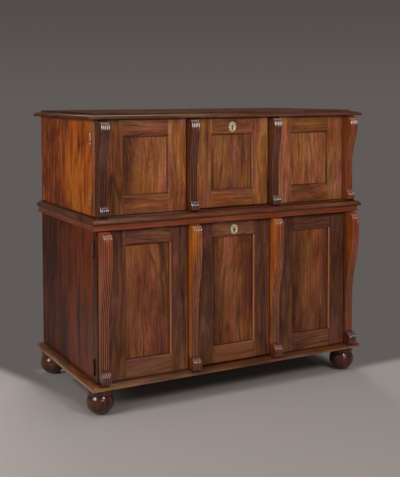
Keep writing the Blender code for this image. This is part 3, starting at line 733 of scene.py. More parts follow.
def frame_finish(front, shades, shift):
    left_stile, rails, right_stile, rise = shades
    left, right, low, high = panel_opening(front)
    top = span(front + "_frame")[1]
    slopes = [
        ("X", left - JOINT, left + JOINT, rails - left_stile),
        ("X", right - JOINT, right + JOINT, right_stile - rails),
        ("Z", low, high, rise),
    ]
    stage = front.split("_")[0]
    look = {"warp": 0.07, "contrast": FRONT_CONTRAST[stage], "shade": left_stile, "rails": (left, right)}
    if stage == "upper":
        # Painted light at the left corner
        slopes.append(("X", PAINTED_CORNER_WIDTH - HALF_WIDTH, -HALF_WIDTH, PAINTED_CORNER_LIGHT))
    else:
        # Painted shadow under the waist
        slopes.append(("Z", top - PAINTED_SHADOW_HEIGHT, top, PAINTED_SHADOW_DEPTH))
        # Painted highlight along the right edge of the opening
        look["worn"] = (right, right + EDGE_HIGHLIGHT_WIDTH, low, high)
        # Painted shade in the gap at the outer edge
        look["edge"] = HALF_WIDTH - EDGE_LINE
    tones = front_tones(front, LOWER_FRAME_TONES)
    # The seam is a line of painted shadow along the frame's top
    polished(front + "_frame", "Z", tones, shift, slopes=slopes, seams=[(top - TOP_LINE, top)], **look)


def panel_finish(front, shades, shift):
    at_left, in_middle, at_right = shades
    border = panel_opening(front)
    left, right = border[:2]
    width = right - left
    slopes = [
        ("X", left, left + PANEL_FADE * width, in_middle - at_left),
        ("X", right - PANEL_FADE * width, right - PANEL_MARGIN * width, at_right - in_middle),
    ]
    stage = front.split("_")[0]
    look = {"warp": 0.08, "contrast": FRONT_CONTRAST[stage], "shade": at_left}
    tones = front_tones(front, LOWER_PANEL_TONES)
    polished(front + "_panel", "Z", tones, shift, slopes=slopes, border=border, **look)


# The shifts grow with the front's number, so each plank has a stretch of figure of its own
for number, (front, (frame_shades, panel_shades)) in enumerate(FRONT_SHADES.items()):
    frame_finish(front, frame_shades, (0.7 * number, 1.7 + 0.3 * number, 0.9 * number))
    panel_finish(front, panel_shades, (0.3 + 0.9 * number, 2.9, 0.5 * number))
print("wood finishes:", len(FINISHES))

# %% [markdown]
# ## Brass and bone
#
# The hinges and locks are brass gone brown, with brighter metal where it is rubbed. The keyhole plates are
# bone: cream, with faint lines of growth and stains from handling. A plain colour would look like plastic, so
# a cloudy noise mixes two tones in each, and a fine one gives the metal its scratches.

# %% Brass
BRASS_CLOUDS = (90, 90, 4)
BRASS_SCRATCHES = (900, 60)
BRIGHT_RANGE = (0.42, 0.62)
BRASS_ROUGHNESS = 0.48
RUBBED_SMOOTH = 0.15
SCRATCH_BUMP = 0.08
SCRATCH_DEPTH = 0.0002


def tarnished_brass(name, dull, bright, metal=1.0):
    tree, shader, place = new_finish(name)
    worn = smooth_step(tree, noise(tree, place, *BRASS_CLOUDS)[0], *BRIGHT_RANGE)
    scratches = noise(tree, place, *BRASS_SCRATCHES)[0]
    looks = {
        "Base Color": mix_colour(tree, worn, linear(dull), linear(bright)),
        "Roughness": math_node(tree, "MULTIPLY_ADD", worn, -RUBBED_SMOOTH, BRASS_ROUGHNESS),
        "Normal": bumped(tree, scratches, SCRATCH_BUMP, SCRATCH_DEPTH),
        "Metallic": metal,
    }
    feed(tree, shader, looks)


tarnished_brass("brass", (112, 76, 54), (178, 132, 102))
tarnished_brass("dull_brass", (58, 26, 15), (88, 50, 34), 0.3)

# %% Bone
BONE_GROWTH = (160, 900, 3)
BONE_STAINS = (240, 240)
GROWTH_RANGE = (0.35, 0.70)
STAIN_RANGE = (0.50, 0.64)
BONE_DULL = (134, 120, 86)
BONE_CREAM = (186, 172, 134)
BONE_STAINED = (70, 54, 32)
STAIN_STRENGTH = 0.8
BONE_ROUGHNESS = 0.32
GROWTH_ROUGHNESS = 0.2
# Reach and strength of the dust and painted shade round the keyhole and the rim
BONE_GRIME_AND_SHADE = (0.004, 0.85)


def aged_bone():
    tree, shader, place = new_finish("aged_bone")
    growth = noise(tree, place, *BONE_GROWTH)[0]
    stain = smooth_step(tree, noise(tree, place, *BONE_STAINS)[0], *STAIN_RANGE)
    lines = smooth_step(tree, growth, *GROWTH_RANGE)
    colour = mix_colour(tree, lines, linear(BONE_DULL), linear(BONE_CREAM))
    colour = mix_colour(tree, times(tree, stain, STAIN_STRENGTH), colour, linear(BONE_STAINED))
    # The bone gets dust and painted shade in its hollows
    looks = {
        "Base Color": grimy_and_shaded(tree, colour, *BONE_GRIME_AND_SHADE),
        "Roughness": math_node(tree, "MULTIPLY_ADD", growth, GROWTH_ROUGHNESS, BONE_ROUGHNESS),
    }
    feed(tree, shader, looks)


aged_bone()
print("finishes:", len(FINISHES))

# %% [markdown]
# ## Shapes
#
# A moulding, a post or a frame is one outline that changes from level to level. Each is grown here as a ring
# of edges: the ring is extruded, its new points go to the next level, and the ends are filled or bridged.
# Cutting the same shapes out of blocks would take many boolean steps and leave uneven faces.

# %% Rings and turned shapes


def ring_points(ring):
    return list({vert for edge in ring for vert in edge.verts})


def next_ring(shape, ring):
    """Extrudes a ring of edges and returns the edges of the new ring."""
    old = set(ring_points(ring))
    made = bmesh.ops.extrude_edge_only(shape, edges=ring)["geom"]
    return [item for item in made if isinstance(item, bmesh.types.BMEdge) and not old & set(item.verts)]


def turned(shape, profile, centre, steps):
    """Spins an outline of (radius, height) pairs about an upright axis through the centre."""
    points = [shape.verts.new(Vector(centre) + Vector((radius, 0, height))) for radius, height in profile]
    lines = [shape.edges.new(pair) for pair in zip(points, points[1:])]
    circle = {"cent": centre, "axis": (0, 0, 1), "angle": 2 * math.pi, "steps": steps, "use_merge": True}
    bmesh.ops.spin(shape, geom=points + lines, **circle)


# %% Finished pieces
MERGE_DISTANCE = 0.000001
SOFT_ANGLE = 35


def mesh_of(name, shape):
    mesh = bpy.data.meshes.new(name)
    shape.to_mesh(mesh)
    shape.free()
    return mesh


def add_piece(name, shape, body, finish, nodes=(), sharp=SOFT_ANGLE):
    """Makes the finished object of a shape, and hands it to the body that carries it."""
    bmesh.ops.remove_doubles(shape, verts=shape.verts, dist=MERGE_DISTANCE)
    bmesh.ops.recalc_face_normals(shape, faces=shape.faces)
    mesh = mesh_of(name, shape)
    mesh.materials.append(FINISHES[finish])
    mesh.shade_smooth()
    mesh.set_sharp_from_angle(angle=math.radians(sharp))
    piece = add_object(name, mesh)
    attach(piece, body)
    if nodes:
        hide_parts(*nodes)
    print(f"{name}: {len(mesh.polygons)} faces on {body}")
    return piece


def soften(piece, width):
    """Rounds the sharp edges a little, as hand planing and long use do."""
    rounding = piece.modifiers.new("worn_edges", "BEVEL")
    rounding.width = width
    rounding.segments = 2
    rounding.limit_method = "ANGLE"
    rounding.angle_limit = math.radians(SOFT_ANGLE)


# %% [markdown]
# ## Moulded boards
#
# The top, the waist and the base are boards with a moulded edge on the front and both ends, and a flat back.
# Their thumb moulding is a quarter of an oval that rises from a narrow edge to a small step, the quirk. A
# Bevel modifier could round the edge, but not to an oval with a quirk, so the section is given by levels.

# %% Sections of the boards
# Width of the thumb, height of the quirk above it and of the flat edge below it
THUMBS = {
    "top_board": (0.036, 0.007, 0.003),
    "waist_lip_board": (0.022, 0.004, 0.003),
    "base_board": (0.018, 0, 0.006),
}
THUMB_STEPS = 14
EDGE_CHAMFER = 0.003
CHAMFER_BULGE = 0.0009
BEAD = 0.003
BEAD_HALF_HEIGHT = 0.0045
BEAD_STEPS = 8
COVE_DROP = 0.006
COVE_HEIGHT = 0.0048
COVE_STEPS = 6


def quarter(steps):
    """Even angles from nothing to a right angle."""
    return [math.pi / 2 * step / steps for step in range(steps + 1)]


def thumb_levels(board):
    """(inset, height) pairs of a thumb moulding from its underside to the board's face."""
    low, high = span(board)
    width, quirk, flat = THUMBS[board]
    tip = low + EDGE_CHAMFER + flat
    crown = high - quirk
    levels = [(EDGE_CHAMFER, low), (CHAMFER_BULGE, low + CHAMFER_BULGE), (0, low + EDGE_CHAMFER)]
    for angle in quarter(THUMB_STEPS):
        levels.append((width * (1 - math.cos(angle)), tip + (crown - tip) * math.sin(angle)))
    if quirk:
        levels.append((width, high))
    return levels


def band_levels(board):
    """(inset, height) pairs of the waist band: a bead below, a flat, and a small cove under the lip."""
    low, high = span(board)
    levels = []
    for step in range(BEAD_STEPS + 1):
        angle = math.pi * step / BEAD_STEPS
        levels.append((BEAD * (1 - math.sin(angle)), low + BEAD_HALF_HEIGHT * (1 - math.cos(angle))))
    for angle in quarter(COVE_STEPS):
        levels.append((BEAD * math.cos(angle), high - COVE_DROP + COVE_HEIGHT * (1 - math.cos(angle))))
    levels.append((0, high))
    return levels


print("levels of the top's moulding:", len(thumb_levels("top_board")))

# %% Moulded boards
BOLT_THROW = 0.008
BOARD_ROUNDING = 0.0006


def bolt_mortise(stage, board):
    """Corners and depth of the place in a board where the bolt below it goes when it is thrown."""
    lo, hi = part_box(stage + "_lock_bolt")
    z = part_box(board)[0].z
    room = 2 * SEAT
    return (lo.x - room, lo.y - room, z), (hi.x + room, hi.y + room, z), BOLT_THROW + SEAT


def sink_pocket(shape, face, low, high, depth):
    """A square pocket in an underside, between two corners seen from below."""
    geom = [face, *face.edges, *face.verts]
    for place, axis in ((low, (1, 0, 0)), (high, (1, 0, 0)), (low, (0, 1, 0)), (high, (0, 1, 0))):
        cut = bmesh.ops.bisect_plane(shape, geom=geom, dist=MERGE_DISTANCE, plane_co=place, plane_no=axis)
        geom = list({*cut["geom"], *cut["geom_cut"]})
    middle = (Vector(low) + Vector(high)) / 2
    under_faces = [item for item in geom if isinstance(item, bmesh.types.BMFace)]
    pocket = min(under_faces, key=lambda item: (item.calc_center_median() - middle).length)
    made = bmesh.ops.extrude_discrete_faces(shape, faces=[pocket])["faces"]
    bmesh.ops.translate(shape, verts=made[0].verts, vec=(0, 0, depth))


def moulded_board(name, levels, finish, mortise=None):
    lo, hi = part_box(name)
    shape = bmesh.new()
    bmesh.ops.create_grid(shape, x_segments=1, y_segments=1, size=1)
    shape.faces.ensure_lookup_table()
    under = shape.faces[0]
    ring = list(shape.edges)
    for number, (inset, z) in enumerate(levels):
        if number:
            ring = next_ring(shape, ring)
        for vert in ring_points(ring):
            y = hi.y if vert.co.y > 0 else lo.y + inset
            vert.co = (math.copysign(hi.x - inset, vert.co.x), y, z)
    bmesh.ops.edgeloop_fill(shape, edges=ring)
    if mortise:
        sink_pocket(shape, under, *mortise)
    soften(add_piece("moulded_" + name, shape, "carcass", finish, [name]), BOARD_ROUNDING)


mortise = bolt_mortise("upper", "top_board")
moulded_board("top_board", thumb_levels("top_board"), "top", mortise)
moulded_board("waist_lip_board", thumb_levels("waist_lip_board"), "lip")
mortise = bolt_mortise("lower", "waist_band_board")
moulded_board("waist_band_board", band_levels("waist_band_board"), "band", mortise)
moulded_board("base_board", thumb_levels("base_board"), "base")

# %% [markdown]
# ## Turned feet
#
# The bun feet were turned on a lathe, so they are spun from half of their outline: a half-round ring under
# the base and a squat bun below it. Scaled spheres would miss the crease between the two and the flat sole.

# %% Bun feet
SIDES = ("left", "right")
FOOT_RADIUS = 0.0525
FOOT_SEAT_RADIUS = 0.046
FOOT_RING_RADIUS = 0.048
FOOT_RING_BULGE = 0.005
FOOT_RING_HEIGHT = 0.026
FOOT_RING_STEPS = 14
FOOT_CREASE_RADIUS = 0.0415
FOOT_SHOULDER_RADIUS = 0.0435
FOOT_SOLE_RADIUS = 0.012
BUN_STEPS = 28
FOOT_SIDES = 64


def foot_profile(top):
    """(radius, height) pairs from the middle of the top, down the ring and the bun, to the floor."""
    points = [(0, top), (FOOT_SEAT_RADIUS, top)]
    half_ring = FOOT_RING_HEIGHT / 2
    for step in range(1, FOOT_RING_STEPS):
        angle = math.pi * step / FOOT_RING_STEPS
        radius = FOOT_RING_RADIUS - FOOT_RING_BULGE * (1 - math.sin(angle))
        points.append((radius, top - half_ring + half_ring * math.cos(angle)))
    bun_top = top - FOOT_RING_HEIGHT
    points.append((FOOT_CREASE_RADIUS, bun_top))
    shoulder = math.acos(FOOT_SHOULDER_RADIUS / FOOT_RADIUS)
    sole = math.acos(FOOT_SOLE_RADIUS / FOOT_RADIUS)
    half_height = bun_top / (math.sin(shoulder) + math.sin(sole))
    middle = half_height * math.sin(sole)
    for step in range(BUN_STEPS + 1):
        angle = shoulder - (shoulder + sole) * step / BUN_STEPS
        points.append((FOOT_RADIUS * math.cos(angle), middle + half_height * math.sin(angle)))
    points.append((0, 0))
    return points


FOOT_PROFILE = foot_profile(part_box("base_board")[0].z - SEAT)
for end in ("front", "rear"):
    for side in SIDES:
        name = f"{end}_{side}_foot"
        lo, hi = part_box(name)
        shape = bmesh.new()
        turned(shape, FOOT_PROFILE, ((lo.x + hi.x) / 2, (lo.y + hi.y) / 2, 0), FOOT_SIDES)
        add_piece("turned_" + name, shape, "carcass", "foot", [name])

# %% [markdown]
# ## Reeded pilasters
#
# Each pilaster carries five half-round reeds. They roll over a rounded head, follow a curved taper down to a
# slim shaft and end on a roll. A curve with a bevel could draw one reed, but five would not meet in clean
# hollows. One section does for the whole length: only how far its front stands out changes, so the section
# is extruded upward and its front points are pushed out or drawn in at each height.

# %% Outline of a pilaster
HEAD_TUCK = 0.018
HEAD_ROUND = 0.026
ROLL_TUCK = 0.012
HEAD_STEPS = 16
TAPER_STEPS = 24
ROLL_STEPS = 18

# Drops of the taper's ends below the stage's top, reaches of the shaft and the roll, and the roll's height
PILASTER_FORM = {
    "upper": {"taper": (0.205, 0.036), "shaft": 0.027, "roll": 0.046, "roll_height": 0.040},
    "lower": {"taper": (0.370, 0.085), "shaft": 0.018, "roll": 0.047, "roll_height": 0.050},
}


def pilaster_stations(stage, head, low, high):
    """(height, reach) pairs up the front of a pilaster whose head reaches out by so much."""
    form = PILASTER_FORM[stage]
    roll, shaft = form["roll"], form["shaft"]
    half_roll = form["roll_height"] / 2
    stations = []
    for step in range(ROLL_STEPS + 1):
        angle = math.pi * (step / ROLL_STEPS - 0.5)
        tuck = ROLL_TUCK if angle < 0 else roll - shaft
        stations.append((low + half_roll + half_roll * math.sin(angle), roll - tuck * (1 - math.cos(angle))))
    ceiling = span(stage + "_left_side")[1]
    start, end = (ceiling - drop for drop in form["taper"])
    for step in range(TAPER_STEPS + 1):
        share = step / TAPER_STEPS
        swell = 0.5 - 0.5 * math.cos(math.pi * share)
        stations.append((start + (end - start) * share, shaft + (head - shaft) * swell))
    for angle in quarter(HEAD_STEPS)[1:]:
        reach = HEAD_TUCK + (head - HEAD_TUCK) * math.cos(angle)
        stations.append((high - HEAD_ROUND + HEAD_ROUND * math.sin(angle), reach))
    return stations


for stage, form in PILASTER_FORM.items():
    print(stage, "pilaster: shaft", form["shaft"], "roll", form["roll"])

# %% Reeded pilasters
STAGES = ("upper", "lower")
REED_STEPS = 10
REED_FULLNESS = 0.75
REED_SHARP = 50
INNER_FINISHES = {"upper": "upper_pilaster", "lower": "inner_pilaster"}
OUTER_FINISHES = {
    "upper": {"left": "dark_pilaster", "right": "bright_pilaster"},
    "lower": {"left": "outer_pilaster", "right": "outer_pilaster"},
}


def face_y(stage):
    """How far forward the fronts of a stage stand."""
    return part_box(stage + "_flap_frame")[0].y


def reeded_section(left, right, front, back):
    """Outline of a pilaster that stands out by nothing: flat back and sides, and reeds across the front."""
    radius = (right - left) / REED_COUNT / 2
    depth = radius * REED_FULLNESS
    points = [(left, back)]
    for reed in range(REED_COUNT):
        middle = left + radius * (2 * reed + 1)
        for step in range(REED_STEPS):
            angle = math.pi * step / REED_STEPS
            points.append((middle - radius * math.cos(angle), front + depth - depth * math.sin(angle)))
    return [*points, (right, front + depth), (right, back)]


def reeded_pilaster(name, stage, body, finish):
    lo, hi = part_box(name)
    shape = bmesh.new()
    section = reeded_section(lo.x, hi.x, face_y(stage), hi.y)
    outline = bmesh.ops.create_circle(shape, cap_ends=True, segments=len(section), radius=1)["verts"]
    stations = pilaster_stations(stage, face_y(stage) - lo.y, lo.z, hi.z)
    for vert, (x, y) in zip(outline, section):
        vert.co = (x, y if y == hi.y else y - stations[0][1], stations[0][0])
    ring = list(shape.edges)
    for (z_before, before), (z, reach) in zip(stations, stations[1:]):
        ring = next_ring(shape, ring)
        points = ring_points(ring)
        bmesh.ops.translate(shape, verts=points, vec=(0, 0, z - z_before))
        front = [vert for vert in points if vert.co.y < hi.y - SEAT]
        bmesh.ops.translate(shape, verts=front, vec=(0, before - reach, 0))
    bmesh.ops.edgeloop_fill(shape, edges=ring)
    add_piece("reeded_" + name, shape, body, finish, [name], REED_SHARP)


for stage in STAGES:
    for side in SIDES:
        corner = f"{stage}_{side}"
        reeded_pilaster(corner + "_inner_pilaster", stage, "carcass", INNER_FINISHES[stage])
        reeded_pilaster(corner + "_outer_pilaster", stage, corner + "_door", OUTER_FINISHES[stage][side])

# %% [markdown]
# ## Side doors
#
# A door is a frame of two upright stiles and two rails, with an ovolo moulding run round the opening and a
# groove behind it that holds a loose panel. Four boards and four mouldings could be mitred together. Here the
# frame is one ring of rectangles that goes round the profile of its wood, from the back edge over the face,
# down the ovolo, into the groove and back, so the mitres close by themselves.

# %% Profile of a door frame
OVOLO = 0.007
OVOLO_QUIRK = 0.0015
OVOLO_STEPS = 8


def back_y(stage):
    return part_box(stage + "_flap_frame")[1].y


def frame_profile(front, back, panel_front, panel_back):
    """(which outline, growth, y) round the wood of a frame; the opening's outline grows outward."""
    steps = [("outer", 0, back), ("outer", 0, front), ("opening", OVOLO, front)]
    for angle in quarter(OVOLO_STEPS):
        growth = OVOLO * (1 - math.sin(angle))
        steps.append(("opening", growth, front + OVOLO_QUIRK + OVOLO * (1 - math.cos(angle))))
    steps.append(("opening", 0, panel_front))
    steps += [("opening", PANEL_GROOVE, y) for y in (panel_front, panel_back)]
    steps += [("opening", 0, y) for y in (panel_back, back)]
    return steps


for stage in STAGES:
    print(stage, "doors:", round(back_y(stage) - face_y(stage), 4), "m thick")

# %% Door frames
DOOR_ROUNDING = 0.0005


def panelled_frame(outer, opening, profile):
    """Grows the ring of a frame; outlines are (left, right, low, high).

    The first ring is a square about the origin. All later ones lie about the middle of the opening.
    """
    shape = bmesh.new()
    bmesh.ops.create_grid(shape, x_segments=1, y_segments=1, size=1)
    bmesh.ops.delete(shape, geom=list(shape.faces), context="FACES_ONLY")
    ring = first = list(shape.edges)
    bmesh.ops.rotate(shape, verts=shape.verts, matrix=Matrix.Rotation(math.pi / 2, 3, "X"))
    middle = Vector((0, 0, 0))
    for number, (which, growth, y) in enumerate(profile):
        if number:
            ring = next_ring(shape, ring)
        left, right, low, high = outer if which == "outer" else opening
        for vert in ring_points(ring):
            x = right + growth if vert.co.x > middle.x else left - growth
            vert.co = (x, y, high + growth if vert.co.z > middle.z else low - growth)
        middle = Vector((sum(opening[:2]) / 2, 0, sum(opening[2:]) / 2))
    bmesh.ops.bridge_loops(shape, edges=first + ring)
    return shape


for stage in STAGES:
    for side in SIDES:
        door = f"{stage}_{side}_door"
        lo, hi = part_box(door + "_frame")
        outer = (-HALF_WIDTH, hi.x, lo.z, hi.z) if side == "left" else (lo.x, HALF_WIDTH, lo.z, hi.z)
        panel_lo, panel_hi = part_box(door + "_panel")
        profile = frame_profile(face_y(stage), back_y(stage), panel_lo.y - SEAT, panel_hi.y + SEAT)
        shape = panelled_frame(outer, panel_opening(door), profile)
        piece = add_piece("panelled_" + door, shape, door, door + "_frame", [door + "_frame"])
        soften(piece, DOOR_ROUNDING)

# %% [markdown]
# ## Hinges
#
# The side doors hang on brass butt hinges at the outer corners. The carcass leaf has the two end barrels and
# the pin, and the door leaf has the middle barrel. Each leaf is held by three screws. One mesh for the whole
# hinge would tear when the door swings, so each leaf is a piece of its own on the body that it is screwed to.

# %% Parts of a hinge
BARREL_RADIUS = 0.0036
BARREL_CHAMFER = 0.0004
BARREL_SIDES = 24
LEAF_THICKNESS = 0.0016
LEAF_WIDTH = 0.016
LEAF_EDGE = 0.0005
SCREW_RADIUS = 0.0026
SCREW_RIM_RADIUS = 0.00234
SCREW_HEIGHT = 0.0002
SCREW_SIDES = 20


def barrel(shape, x, y, low, high):
    edge = BARREL_RADIUS - BARREL_CHAMFER
    outline = [(0, low), (edge, low), (BARREL_RADIUS, low + BARREL_CHAMFER)]
    outline += [(BARREL_RADIUS, high - BARREL_CHAMFER), (edge, high), (0, high)]
    turned(shape, outline, (x, y, 0), BARREL_SIDES)


def plate(shape, low, high):
    size = Vector(high) - Vector(low)
    place = Matrix.Translation((Vector(high) + Vector(low)) / 2) @ Matrix.Diagonal((*size, 1))
    bmesh.ops.create_cube(shape, size=1, matrix=place)


def screws(shape, x, y, low, high):
    """Three flat screw heads on a leaf, set a little proud of it."""
    head = {"radius1": SCREW_RADIUS, "radius2": SCREW_RIM_RADIUS, "depth": 2 * SCREW_HEIGHT}
    for share in (1 / 6, 1 / 2, 5 / 6):
        lie = Matrix.Translation((x, y, low + (high - low) * share)) @ Matrix.Rotation(math.pi / 2, 4, "X")
        bmesh.ops.create_cone(shape, cap_ends=True, segments=SCREW_SIDES, matrix=lie, **head)


print("hinge leaves:", LEAF_WIDTH, "m wide")

# %% Butt hinges


def hinge(stage, side, end):
    name = f"{stage}_{side}_{end}_hinge"
    lo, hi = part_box(name)
    third = (hi.z - lo.z) / 3
    sign = -1 if side == "left" else 1
    inner = sign * (HALF_WIDTH - LEAF_WIDTH)
    edge = sign * (HALF_WIDTH - LEAF_EDGE)
    x = hi.x - BARREL_RADIUS if side == "right" else lo.x + BARREL_RADIUS
    y = hi.y - BARREL_RADIUS
    finish = "brass" if stage == "upper" else "dull_brass"

    fixed = bmesh.new()
    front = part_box(f"{stage}_{side}_side")[0].y
    plate(fixed, (inner, front, lo.z), (edge, front + LEAF_THICKNESS, hi.z))
    screws(fixed, (inner + edge) / 2, front, lo.z, hi.z)
    for low in (lo.z, hi.z - third):
        plate(fixed, (edge, front, low), (x, front + LEAF_THICKNESS, low + third))
        barrel(fixed, x, y, low, low + third)
    add_piece("carcass_leaf_" + name, fixed, "carcass", finish, [name])

    moving = bmesh.new()
    back = back_y(stage) + SEAT
    low, high = lo.z + third + SEAT, hi.z - third - SEAT
    plate(moving, (inner, back - LEAF_THICKNESS, lo.z), (edge, back, hi.z))
    screws(moving, (inner + edge) / 2, back, lo.z, hi.z)
    plate(moving, (edge, back - LEAF_THICKNESS, low), (x, back, high))
    barrel(moving, x, y, low, high)
    add_piece("door_leaf_" + name, moving, f"{stage}_{side}_door", finish)


for stage in STAGES:
    for side in SIDES:
        for end in ("bottom", "top"):
            hinge(stage, side, end)

# %% [markdown]
# ## Keyhole plates
#
# Each fall front has a scalloped bone plate round its keyhole. A boolean could cut the hole, but it would
# leave long thin faces. Every ring of the plate is a loop about the keyhole's centre, given by its radius in
# each direction, so the rings go from the keyhole out to the lobes and round the rim to the back.

# %% Outlines of a keyhole plate
KEYHOLE_RADIUS = 0.0046
SLOT_HALF = 0.0028
SLOT_LENGTH = 0.014
LOBES = 8
SCALLOP = 0.0012


def keyhole_radius(angle):
    """Distance to the edge of the keyhole: a round hole with a slot below it."""
    down = -math.sin(angle)
    if down <= 0:
        return KEYHOLE_RADIUS
    slot = min(SLOT_LENGTH / down, SLOT_HALF / max(abs(math.cos(angle)), 0.0001))
    return max(KEYHOLE_RADIUS, slot)


def lobed_radius(angle, half_width, half_height):
    oval = 1 / math.hypot(math.cos(angle) / half_width, math.sin(angle) / half_height)
    return oval + SCALLOP * (math.cos(LOBES * angle) - 1)


print("keyhole:", round(KEYHOLE_RADIUS + keyhole_radius(-math.pi / 2), 4), "m tall")

# %% Keyhole plates
PLATE_STEPS = 128
PLATE_SHARP = 40

# Share of the way from the keyhole to the rim, and share of the depth, from the back of the keyhole over the
# dished face to the back of the rim
PLATE_LEVELS = [(0.0, 1.0), (0.0, 0.5), (0.06, 0.42), (0.5, 0.40), (0.78, 0.45), (0.86, 0.2), (0.91, 0.0)]
PLATE_LEVELS += [(0.97, 0.08), (1.0, 0.4), (1.0, 1.0)]


def keyhole_plate(stage):
    name = stage + "_escutcheon"
    lo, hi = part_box(name)
    half = (hi - lo) / 2
    centre_z = (lo.z + hi.z) / 2
    shape = bmesh.new()
    bmesh.ops.create_circle(shape, cap_ends=False, segments=PLATE_STEPS, radius=1)
    ring = first = list(shape.edges)
    angles = {vert: math.atan2(vert.co.y, vert.co.x) for vert in shape.verts}
    for number, (share, sink) in enumerate(PLATE_LEVELS):
        if number:
            ring = next_ring(shape, ring)
            angles = {vert: math.atan2(vert.co.z - centre_z, vert.co.x) for vert in ring_points(ring)}
        for vert, angle in angles.items():
            inner = keyhole_radius(angle)
            radius = inner + (lobed_radius(angle, half.x, half.z) - inner) * share
            y = lo.y + 2 * half.y * sink
            vert.co = (radius * math.cos(angle), y, centre_z + radius * math.sin(angle))
    bmesh.ops.bridge_loops(shape, edges=first + ring)
    add_piece("lobed_" + name, shape, stage + "_flap", "aged_bone", [name], PLATE_SHARP)


for stage in STAGES:
    keyhole_plate(stage)

# %% [markdown]
# ## Pieces that keep their solid shape
#
# Sides, panels, backs, dividers, shelves, locks, pins and the fall fronts' frames are right as they are, and
# modelling them again would gain nothing. Their meshes come as loose triangles, so a Weld modifier joins them
# before a Bevel modifier softens the edges.

# %% Finishes for the solid pieces
WELD_DISTANCE = 0.00001
SOLID_ROUNDING = 0.0004


def finish_for(name):
    if name.endswith("_side"):
        return "upper_side" if name.startswith("upper") else "lower_side"
    if name.endswith(("_frame", "_panel")):
        return name
    return "brass" if "pin" in name or "lock" in name else "pine"


shown = [name for name, node in frame["nodes"].items() if node.visible_get() and not node.hide_render]
for name in shown:
    node = frame["nodes"][name]
    node.data.materials.clear()
    node.data.materials.append(FINISHES[finish_for(name)])
    joined = node.modifiers.new("joined_faces", "WELD")
    joined.merge_threshold = WELD_DISTANCE
    soften(node, SOLID_ROUNDING)
print("solid pieces kept:", len(shown))

# %% [markdown]
# ## Floor
#
# The cabinet stands on grey studio paper that turns into the backdrop behind it. A bent sheet would show a
# band of shading, so the floor is one flat sheet whose far part glows in the backdrop's colour. The edges of
# that part follow the shadow that the cabinet throws behind it, so it is a painted shadow as well. Close
# round the cabinet it stays paper, and under the cabinet a painted shadow darkens it.

# %% Floor
FLOOR_HALF = 60
FLOOR_COLOUR = (150, 142, 137)
PAINTED_SHADOW_COLOUR = (92, 86, 82)
BACKDROP_COLOUR = (96, 91, 88)
PAPER_ROUGHNESS = 0.9

# The far part lies behind one line and right of a slanting one, the edges of the cabinet's painted shadow
FAR_Y = -0.30
FAR_X = -0.643
FAR_SLANT = 0.31
FAR_RANGE = (-0.02, 0.06)

# Half sizes of the rectangle that stays paper and of the one that holds the painted shadow under the cabinet
NEAR_HALF = (0.60, 0.34, 0)
NEAR_RANGE = (-0.05, 0.05)
PAINTED_SHADOW_HALF = (0.53, 0.167, 0)
PAINTED_SHADOW_RANGE = (-0.025, 0.02)


def beyond(tree, place, half_size):
    """How far a point of the floor lies outside a rectangle; less than nothing inside it."""
    parts = axes(tree, vector_node(tree, "SUBTRACT", vector_node(tree, "ABSOLUTE", place), half_size))
    return math_node(tree, "MAXIMUM", parts[0], parts[1])


shape = bmesh.new()
bmesh.ops.create_grid(shape, x_segments=1, y_segments=1, size=FLOOR_HALF)
floor = add_object("floor", mesh_of("floor", shape))

tree, shader, place = new_finish("studio_paper")
floor.data.materials.append(FINISHES["studio_paper"])
ground = axes(tree, place)
behind = math_node(tree, "SUBTRACT", ground[1], FAR_Y)
beside = math_node(tree, "MULTIPLY_ADD", ground[1], FAR_SLANT, ground[0])
beside = math_node(tree, "SUBTRACT", beside, FAR_X)
far = smooth_step(tree, math_node(tree, "MINIMUM", behind, beside), *FAR_RANGE)
far = times(tree, far, smooth_step(tree, beyond(tree, place, NEAR_HALF), *NEAR_RANGE))
# Painted shadow under the cabinet, outside of which the paper keeps its colour
lit = smooth_step(tree, beyond(tree, place, PAINTED_SHADOW_HALF), *PAINTED_SHADOW_RANGE)
colour = mix_colour(tree, lit, linear(PAINTED_SHADOW_COLOUR), linear(FLOOR_COLOUR))
feed(tree, shader, {"Base Color": colour, "Roughness": PAPER_ROUGHNESS})
glow = add_node(tree, "Emission", {"Color": linear(BACKDROP_COLOUR), "Strength": 1.0})
both = add_node(tree, "MixShader", {0: far, 1: shader.outputs[0], 2: glow.outputs[0]})
feed(tree, tree.nodes["Material Output"], {"Surface": both.outputs[0]})
print("floor:", 2 * FLOOR_HALF, "m wide,", len(tree.nodes), "nodes")

# %% [markdown]
# ## Backdrop
#
# Above the floor the camera sees a grey that darkens upward. A wall behind the cabinet would throw its colour
# back on it. The world shows the grey only to the camera, to reflections and through glass, and lights the
# cabinet with an even, dim grey of its own.

# %% Backdrop
HIGH_BACKDROP_COLOUR = (82, 77, 74)
BACKDROP_RISE = (-0.02, 0.12)
ROOM_COLOUR = (0.15, 0.146, 0.142, 1)

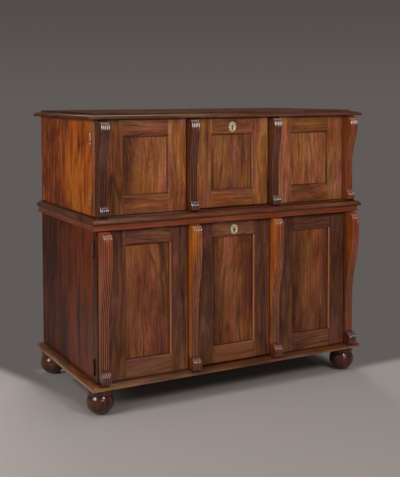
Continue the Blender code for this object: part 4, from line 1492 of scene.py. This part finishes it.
scene.world = bpy.data.worlds.new("studio")
scene.world.use_nodes = True
tree = scene.world.node_tree
rise = axes(tree, add_node(tree, "TexCoord").outputs["Generated"])[2]
height = smooth_step(tree, rise, *BACKDROP_RISE)
colour = mix_colour(tree, height, linear(BACKDROP_COLOUR), linear(HIGH_BACKDROP_COLOUR))
backdrop = tree.nodes["Background"]
feed(tree, backdrop, {"Color": colour})
room = add_node(tree, "Background", {"Color": ROOM_COLOUR, "Strength": 1.0})
path = add_node(tree, "LightPath").outputs
seen = math_node(tree, "ADD", path["Is Camera Ray"], path["Is Glossy Ray"])
seen = math_node(tree, "ADD", seen, path["Is Transmission Ray"], clamp=True)
either = add_node(tree, "MixShader", {0: seen, 1: room.outputs[0], 2: backdrop.outputs[0]})
feed(tree, tree.nodes["World Output"], {"Surface": either.outputs[0]})
print("world:", len(tree.nodes), "nodes")

# %% [markdown]
# ## Light
#
# Soft light from above and from the left shapes the cabinet, and two lamps in front put light lines on the
# reeds and mouldings. Sun lamps would throw hard shadows, so each lamp is a rectangle like a studio softbox.
# The last one, high at the back, draws a thin light line along the top.

# %% Softboxes


def softbox(name, place, target, size, power, spread=180):
    """An area light of a given size and power that faces a target; spread narrows its beam."""
    lamp = bpy.data.lights.new(name, "AREA")
    lamp.shape = "RECTANGLE"
    lamp.size, lamp.size_y = size
    lamp.energy = power
    lamp.spread = math.radians(spread)
    holder = add_object(name, lamp)
    holder.location = place
    holder.rotation_euler = (Vector(target) - Vector(place)).to_track_quat("-Z", "Y").to_euler()
    holder.visible_camera = False
    print("softbox:", name, power, "W")


softbox("overhead", (-0.3, -0.7, 3.6), (0, -0.1, 0.6), (2.4, 1.6), 38)
softbox("key", (0.3, -3.3, 2.8), (0, -0.2, 0.4), (0.7, 0.7), 54)
softbox("left", (-3.2, -0.9, 1.7), (-0.4, -0.1, 0.6), (1.2, 1.2), 72)
softbox("front", (-0.2, -3.6, 1.6), (0, -0.3, 1.3), (2.6, 1.1), 12, 44)
softbox("back", (0.5, 2.1, 2.7), (0, 0.35, 0.5), (1.6, 0.8), 12, 80)
